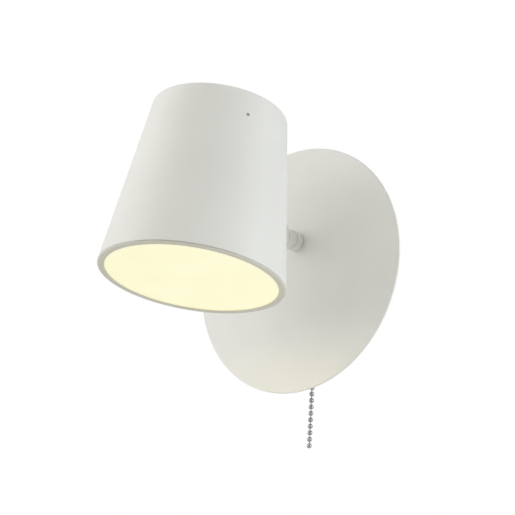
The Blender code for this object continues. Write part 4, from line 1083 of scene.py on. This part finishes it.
def light_engine():
    """The reflector, and the board with its emitters."""
    low, high = DIFFUSER_HIGH + GAP, BOARD_LOW - GAP
    small, wide = BOARD_RADIUS - 0.8, BEZEL_INNER + 0.4
    cone = [(small, high), (wide, low), (wide + 0.8, low), (small + 0.8, high)]
    piece("reflector_cone", lathe(cone), SHADE, "reflector")
    disc = [(0, BOARD_LOW), (BOARD_RADIUS - 0.2, BOARD_LOW), (BOARD_RADIUS, BOARD_LOW + 0.2),
            (BOARD_RADIUS, BOARD_HIGH), (0, BOARD_HIGH)]
    board = piece("led_round_board", lathe(disc, ROUND), SHADE, "led_board")
    for angle in BOARD_SCREW_ANGLES:
        x, y = polar(BOARD_SCREW_CIRCLE, angle)
        cut(board, rod(1.8, BOARD_LOW - 1, BOARD_HIGH + 1, TINY), place=moved(SHADE, x, y))
    face = BOARD_LOW - 0.61
    packages = bmesh.new()
    lenses = bmesh.new()
    for radius, count in LED_RINGS:
        for k in range(count):
            x, y = polar(radius, 360 * (k + 0.5) / count)
            square = pad((x - 1.5, x + 1.5), (y - 1.5, y + 1.5), 0.15, 3)
            add_shape(packages, prism(square, BOARD_LOW - 0.6, BOARD_LOW - 0.02))
            lens = lathe([(0, BOARD_LOW - 0.7), (1.0, BOARD_LOW - 0.7), (1.2, face), (0, face)], 20)
            lens.transform(Matrix.Translation((x * MM, y * MM, 0)))
            add_shape(lenses, lens)
    piece("led_packages", packages, SHADE, body="head", looks=[LOOKS["led_board"]])
    piece("led_lenses", lenses, SHADE, body="head", looks=[LED_PHOSPHOR])


def board_screws():
    """The two cross-head screws that hold the LED board to the heat sink."""
    head = BOARD_LOW - GAP
    profile = ([(0, head - 1.3), (1.2, head - 1.3)] + arc((1.8, head - 0.55), 0.75, 270, 350, 5)
               + [(2.6, head), (1.5, head)] + thread(1.5, head + 0.4, 65.6, 0.5, 0.18)
               + [(1.2, 66.1), (0, 66.1)])
    for number, angle in enumerate(BOARD_SCREW_ANGLES, 1):
        place = moved(SHADE, *polar(BOARD_SCREW_CIRCLE, angle))
        screw = piece(f"led_board_screw_{number}", lathe(profile, 48), place, f"board_screw_{number}")
        for x, y in ((1.2, 0.3), (0.3, 1.2)):
            cut(screw, prism(rectangle(x, y), head - 2, head - 0.6))


shade_shell()
set_screws()
add_glow(bezel_and_diffuser())
light_engine()
board_screws()


# ---------------------------------------------------------------- pull chain switch

def switch_body():
    """The switch's moulded tray and its lid, and the two rivets through both."""
    low, high = SWITCH_Z
    width = (-SWITCH_HALF_WIDTH, SWITCH_HALF_WIDTH)
    tray_shape = slab(width, SWITCH_Z, SWITCH_CORNER, SWITCH_BACK, SWITCH_SPLIT)
    tray = piece("switch_tray", tray_shape, outward(), "switch_case")
    wall, room = SWITCH_WALL, 9.6
    recess = ((-8.4, 8.4), (low + 5, high - 5), 1.5)
    cut(tray, slab((-room, room), (low + wall, high - wall), 0.9, SWITCH_BACK + wall, SWITCH_SPLIT + 1))
    cut(tray, slab(*recess, SWITCH_BACK - 1, SWITCH_BACK + 0.5))
    cut(tray, rod(NOZZLE_RADIUS + GAP, low - 1, low + 3), place=CHAIN_LINE)
    for side in (1, -1):
        cut(tray, rod(1.3, *sorted((side * 9.2, side * 14)), 24), place=sideways(CHAIN_OUT, SWITCH_WIRE_Z))
    start = SWITCH_SPLIT + GAP
    end = start + SWITCH_LID
    lid = piece("switch_cover", slab(width, SWITCH_Z, SWITCH_CORNER, start, end), outward(), "switch_lid")
    cut(lid, slab(*recess, end - 0.4, end + 1))
    head, foot = end + GAP, SWITCH_BACK - GAP
    rivet = [(0, foot - 0.5), (0.7, foot - 0.48), (1.2, foot - 0.35), (1.5, foot - 0.08), (1.45, foot),
             (0.9, foot), (0.9, head), (1.45, head), (1.5, head + 0.08), (1.2, head + 0.35),
             (0.7, head + 0.48), (0, head + 0.5)]
    for number, (x, z) in enumerate(RIVETS, 1):
        for part in (tray, lid):
            cut(part, rod(1.2, SWITCH_BACK - 1, end + 1, TINY), place=outward(x, z))
        piece(f"rivet_{number}", lathe(rivet, 48), outward(x, z), f"switch_rivet_{number}")
    soften(tray, 0.2)
    soften(lid, 0.2)


def switch_nozzle():
    """The threaded nozzle with its flange and bell mouth, and the knurled nut under the housing."""
    bore, end = NOZZLE_BORE, NOZZLE_END
    mouth = [(bore + 1.6 * (1 - math.cos(a)), end + 2.4 - 2.4 * math.sin(a))
             for a in (math.radians(15 * k) for k in range(7))]
    top = FLANGE_TOP
    profile = ([(bore, top - 0.2)] + mouth + [(4.15, end), (4.4, end + 0.15)]
               + thread(NOZZLE_RADIUS, end + 0.4, -43.6, 0.8, 0.3)
               + [(NOZZLE_RADIUS, -43.3), (NOZZLE_RADIUS, top - 0.9), (5.6, top - 0.9), (5.8, top - 0.7),
                  (5.8, top - 0.2), (5.6, top), (bore + 0.2, top)])
    piece("chain_nozzle", lathe(profile, 96), CHAIN_LINE, "switch_nozzle")
    nut = [(5.0, -51.2), (5.2, -51.4), (6.5, -51.4), (6.9, -51.2), (7.2, -50.8), (7.2, -49.0), (6.9, -48.6),
           (6.5, -48.4), (5.2, -48.4), (5.0, -48.6)]
    piece("chain_nozzle_nut", lathe(nut, 176, knurl(7.1, 44, 0.18)), CHAIN_LINE, "nozzle_nut")


def switch_insides():
    """The plunger with its pawl bar, and the fine coil spring that lifts it."""
    low, high = PLUNGER_Z
    profile = [(0, low), (3.3, low), (3.6, low + 0.3), (3.6, high - 0.3), (3.3, high), (0, high)]
    plunger = piece("plunger", lathe(profile, SMALL), CHAIN_LINE, "pull_plunger")
    bar = prism([(-2.8, -1.8), (-0.3, -1.8), (-0.3, 1.8), (-2.8, 1.8)], high - 0.5, -20.6)
    fuse(plunger, bar)
    hook = [(-1.2, -22.0), (-0.2, -22.0), (-0.2, -20.0)]
    notch = prism(hook, CHAIN_OUT - 3, CHAIN_OUT + 3)
    cut(plunger, notch, place=outward())
    soften(plunger, 0.15)
    bottom, top = SPRING_Z
    turn_steps = 20
    steps = SPRING_TURNS * turn_steps
    coil = []
    for k in range(steps + 1):
        x, y = polar(SPRING_RADIUS, 360 * k / turn_steps)
        coil.append(Vector((x, y - CHAIN_OUT, bottom + (top - bottom) * k / steps)))
    spring = piece("plunger_spring", tube(coil, SPRING_WIRE, 10), node="return_spring",
                   looks=[LOOKS["zinc"], LOOKS["zinc"]])
    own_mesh(spring)


switch_body()
switch_nozzle()
switch_insides()


# ---------------------------------------------------------------- driver and terminal block

def driver_box():
    """The driver's tray and its vented cover."""
    half, low, high = DRIVER_HALF_LENGTH, *DRIVER_Z
    outline = ((-half, half), DRIVER_Z, 1.8)
    tray = piece("driver_tray", slab(*outline, DRIVER_SPLIT + GAP, DRIVER_FRONT), outward(), "driver_case")
    wall = DRIVER_WALL
    hollow = ((wall - half, half - wall), (low + wall, high - wall), 0.8)
    cut(tray, slab(*hollow, DRIVER_SPLIT - 1, DRIVER_FLOOR))
    for side, out, lift in ((1, LEAD_OUT, -6.5), (1, LEAD_OUT, 2.0), (-1, POLE_OUT, 0.0)):
        hole = rod(1.2, *sorted((side * (half - 3), side * (half + 1))), 24)
        cut(tray, hole, place=sideways(out, lift))
    soften(tray, 0.25)
    back = DRIVER_BACK
    cover = piece("driver_vent_cover", slab(*outline, back, DRIVER_SPLIT), outward(), "driver_cover")
    for k in range(VENT_COUNT):
        x = VENT_PITCH * (k - (VENT_COUNT - 1) / 2)
        cut(cover, slab((x - 0.8, x + 0.8), (low + 6, high - 6), 0.75, back - 1, DRIVER_SPLIT + 1))
    for x in (4 - half, half - 4):
        cut(cover, rod(1.7, back - 1, back + 0.6, TINY), place=outward(x, (low + high) / 2))
    soften(cover, 0.25)


def component(name, shape, place, look):
    """A part on the driver's board, which has no CAD node of its own."""
    part = piece(name, shape, place, body="base", looks=[look])
    soften(part, 0.15)


def driver_board():
    """The driver's circuit board, with a transformer, capacitors and small parts on it."""
    low, high = DRIVER_Z[0] + DRIVER_WALL, DRIVER_Z[1] - DRIVER_WALL
    half = DRIVER_HALF_LENGTH - DRIVER_WALL - 1
    face = BOARD_BACK
    top = face - 0.05
    plate = slab((-half, half), (low + 1, high - 1), 0.6, face, face + 1.6)
    board = piece("driver_circuit", plate, outward(), "driver_board")
    for x in (-half + 2, half - 2):
        cut(board, rod(0.8, face - 1, face + 3, 24), place=outward(x, low + 3))
    core = slab((-8, 6), (low + 5.4, high - 5.4), 0.4, 17.4, top)
    winding = slab((-5.6, 3.6), (low + 3, high - 3), 1.2, 18.6, face - 1.2)
    component("transformer_core", core, outward(), BLACK_PARTS)
    component("transformer_winding", winding, outward(), LOOKS["brass"])
    for number, (x, z, radius) in enumerate(((14, -3.2, 3.6), (-15, -6.5, 2.6), (-15, 0.5, 2.6)), 1):
        can = [(0, 17.8), (radius - 0.5, 17.8), (radius, 18.2), (radius, 25.6), (radius - 0.3, 25.9),
               (radius, 26.3), (radius, top), (0, top)]
        look = BLACK_PARTS if number > 1 else LOOKS["aluminium"]
        component(f"capacitor_{number}", lathe(can, SMALL), outward(x, z), look)
    for number, x in enumerate((-21.5, -19.2, 9.0, 20.6), 1):
        body = [(0, -2.2), (0.5, -2.2), (0.9, -1.8), (0.9, -1.2), (0.7, -1.0),
                (0.7, 1.0), (0.9, 1.2), (0.9, 1.8), (0.5, 2.2), (0, 2.2)]
        place = Matrix.Translation((x * MM, -(face - 1.1) * MM, (low + high) / 2 * MM))
        component(f"resistor_{number}", lathe(body, TINY), place, LOOKS["natural_plastic"])


def terminal_block():
    """The mains terminal block: a stepped moulding with a wire hole and a slotted screw for each pole."""
    left, right = TERMINAL_X
    low, high = TERMINAL_Z
    back, middle = TERMINAL_BACK, (low + high) / 2
    base = slab(TERMINAL_X, TERMINAL_Z, 0.8, TERMINAL_STEP, FRONT_WALL_INSIDE - GAP)
    body = piece("terminal_moulding", base, outward(), "terminal_block")
    fuse(body, slab((left + 0.8, right - 0.8), (low + 1.6, high - 1.6), 1.2, back, 22))
    first, second, third = TERMINAL_POLES
    for x in ((first + second) / 2, (second + third) / 2):
        cut(body, slab((x - 0.5, x + 0.5), (low - 1, high + 1), 0.4, back - 1, 20.4))
    for x in TERMINAL_POLES:
        cut(body, rod(2.1, 17, 22.3), place=outward(x, middle))
        cut(body, rod(1.5, low - 1, low + 4, TINY), place=upright(x, POLE_OUT))
    soften(body, 0.2)
    profile = [(0, 19.5), (1.2, 19.5), (1.5, 19.7), (1.7, 20.0), (1.7, 21.8), (1.5, 22.0), (0, 22.0)]
    for number, x in enumerate(TERMINAL_POLES, 1):
        place = outward(x, middle)
        screw = piece(f"pole_screw_{number}", lathe(profile, 48), place, f"terminal_screw_{number}")
        slot = prism(rectangle(2, 0.3), 19, 20.3)
        slot.transform(Matrix.Rotation(math.radians(40 + 55 * number), 4, "Z"))
        cut(screw, slot)


driver_box()
driver_board()
terminal_block()


# ---------------------------------------------------------------- wires

def wire(name, points, radius=WIRE_RADIUS, stripe=None, step=1.5):
    """An insulated wire along a smooth route of (x, out, z) points."""
    look = LOOKS[SLOT_OF[name]]
    shape = tube(smooth_route(points, step), radius)
    piece(name + "_insulation", shape, node=name, looks=[look, stripe or look])


def base_wires():
    """The fixed wires inside the housing."""
    entry = TERMINAL_Z[0] + 2
    live, neutral, earth = TERMINAL_POLES
    switch_side = SWITCH_HALF_WIDTH - SWITCH_WALL
    driver_end = DRIVER_HALF_LENGTH + 0.5
    out = POLE_OUT
    wire("wire_live", [(live, out, entry), (live - 0.6, out, 8), (-36, 24, 1), (-36, 21, -8),
                       (-32.5, 17, -18), (-26, 13, -25), (-19, CHAIN_OUT, SWITCH_WIRE_Z),
                       (-switch_side, CHAIN_OUT, SWITCH_WIRE_Z)])
    wire("wire_neutral", [(neutral, out, entry), (neutral - 0.8, out, 9.6), (-30.4, out, 7.0),
                          (-32, out, 3.4), (-30.6, out, 0.6), (-driver_end, out, 0)])
    wire("wire_earth", [(earth, out, entry), (earth, out, 11.4), (earth + 0.6, 22.5, 9.3), (-14, 14, 10),
                        (0, 8, 14), (14, 6, 14), (25, 4.6, 9), (EARTH_X - 4.8, 3.4, 1.8)],
         stripe=EARTH_YELLOW)
    wire("wire_switched", [(switch_side, CHAIN_OUT, SWITCH_WIRE_Z), (19, CHAIN_OUT, SWITCH_WIRE_Z),
                           (26, 14.5, -23.5), (31, 19, -16), (32, 22.5, -9.5), (30.4, LEAD_OUT, -7),
                           (driver_end, LEAD_OUT, -6.5)])
    wire("wire_lamp", [(driver_end, LEAD_OUT, 2), (31, 23.5, 4), (31.5, 21, 9), (27, 18, 15), (18, 16.5, 19),
                       (9, 16.5, 20), (3, 18.5, 18.6), (0, 22, ARM_Z), (0, SPINDLE_BACK - 0.6, ARM_Z)])


def lamp_wires():
    """The lamp wire through the spindle and the knuckle, and through the stem to the LED board."""
    side, lift = WIRE_HOLE_OFFSET, ARM_Z + WIRE_HOLE_OFFSET
    pivot, tip = PIVOT_OUT, STEM_TIP_OUT
    chamber = ARM_Z + (DRUM_CAVITY + HUB_RADIUS) / 2
    wire("wire_arm", [(0, SPINDLE_BACK, ARM_Z), (0, 32, ARM_Z), (0, 40, ARM_Z), (-0.4, 44.2, ARM_Z + 0.4),
                      (-side, 48.4, lift), (-side, 51.6, lift), (-side, pivot - 3.7, ARM_Z + 3.7),
                      (-side, pivot, chamber)], LAMP_WIRE_RADIUS, step=1.0)
    board_edge = SHADE @ Vector((0, (BOARD_RADIUS + 1.8) * MM, (BOARD_LOW + 0.8) * MM))
    end_out, end_z = -board_edge.y / MM, board_edge.z / MM
    wire("wire_head", [(side, pivot, chamber), (side, pivot + 3.7, ARM_Z + 3.7), (side, pivot + 6.5, lift),
                       (side, pivot + 9.0, lift), (1.3, pivot + 12.4, ARM_Z + 1.3), (0, pivot + 16, ARM_Z),
                       (0, pivot + 22, ARM_Z), (0, tip + 0.5, ARM_Z + 0.2), (0, tip + 2.6, ARM_Z + 3.5),
                       (0, tip + 2.4, ARM_Z + 9), (0, end_out - 2.5, end_z - 1.0), (0, end_out, end_z)],
         LAMP_WIRE_RADIUS, step=1.0)


base_wires()
lamp_wires()


# ---------------------------------------------------------------- carried parts

def finish_carried(item, look):
    """Gives a part that keeps its own solid its finish, with its edges broken."""
    item.data.materials.clear()
    item.data.materials.append(look)
    weld = item.modifiers.new("weld", "WELD")
    weld.merge_threshold = 0.00001
    bevel = item.modifiers.new("broken_edges", "BEVEL")
    bevel.width = 0.12 * MM
    bevel.segments = 2
    bevel.limit_method = "ANGLE"
    bevel.angle_limit = math.radians(40)


for node, item in frame["nodes"].items():
    if not item.hide_render:
        finish_carried(item, LOOKS[SLOT_OF[node]])
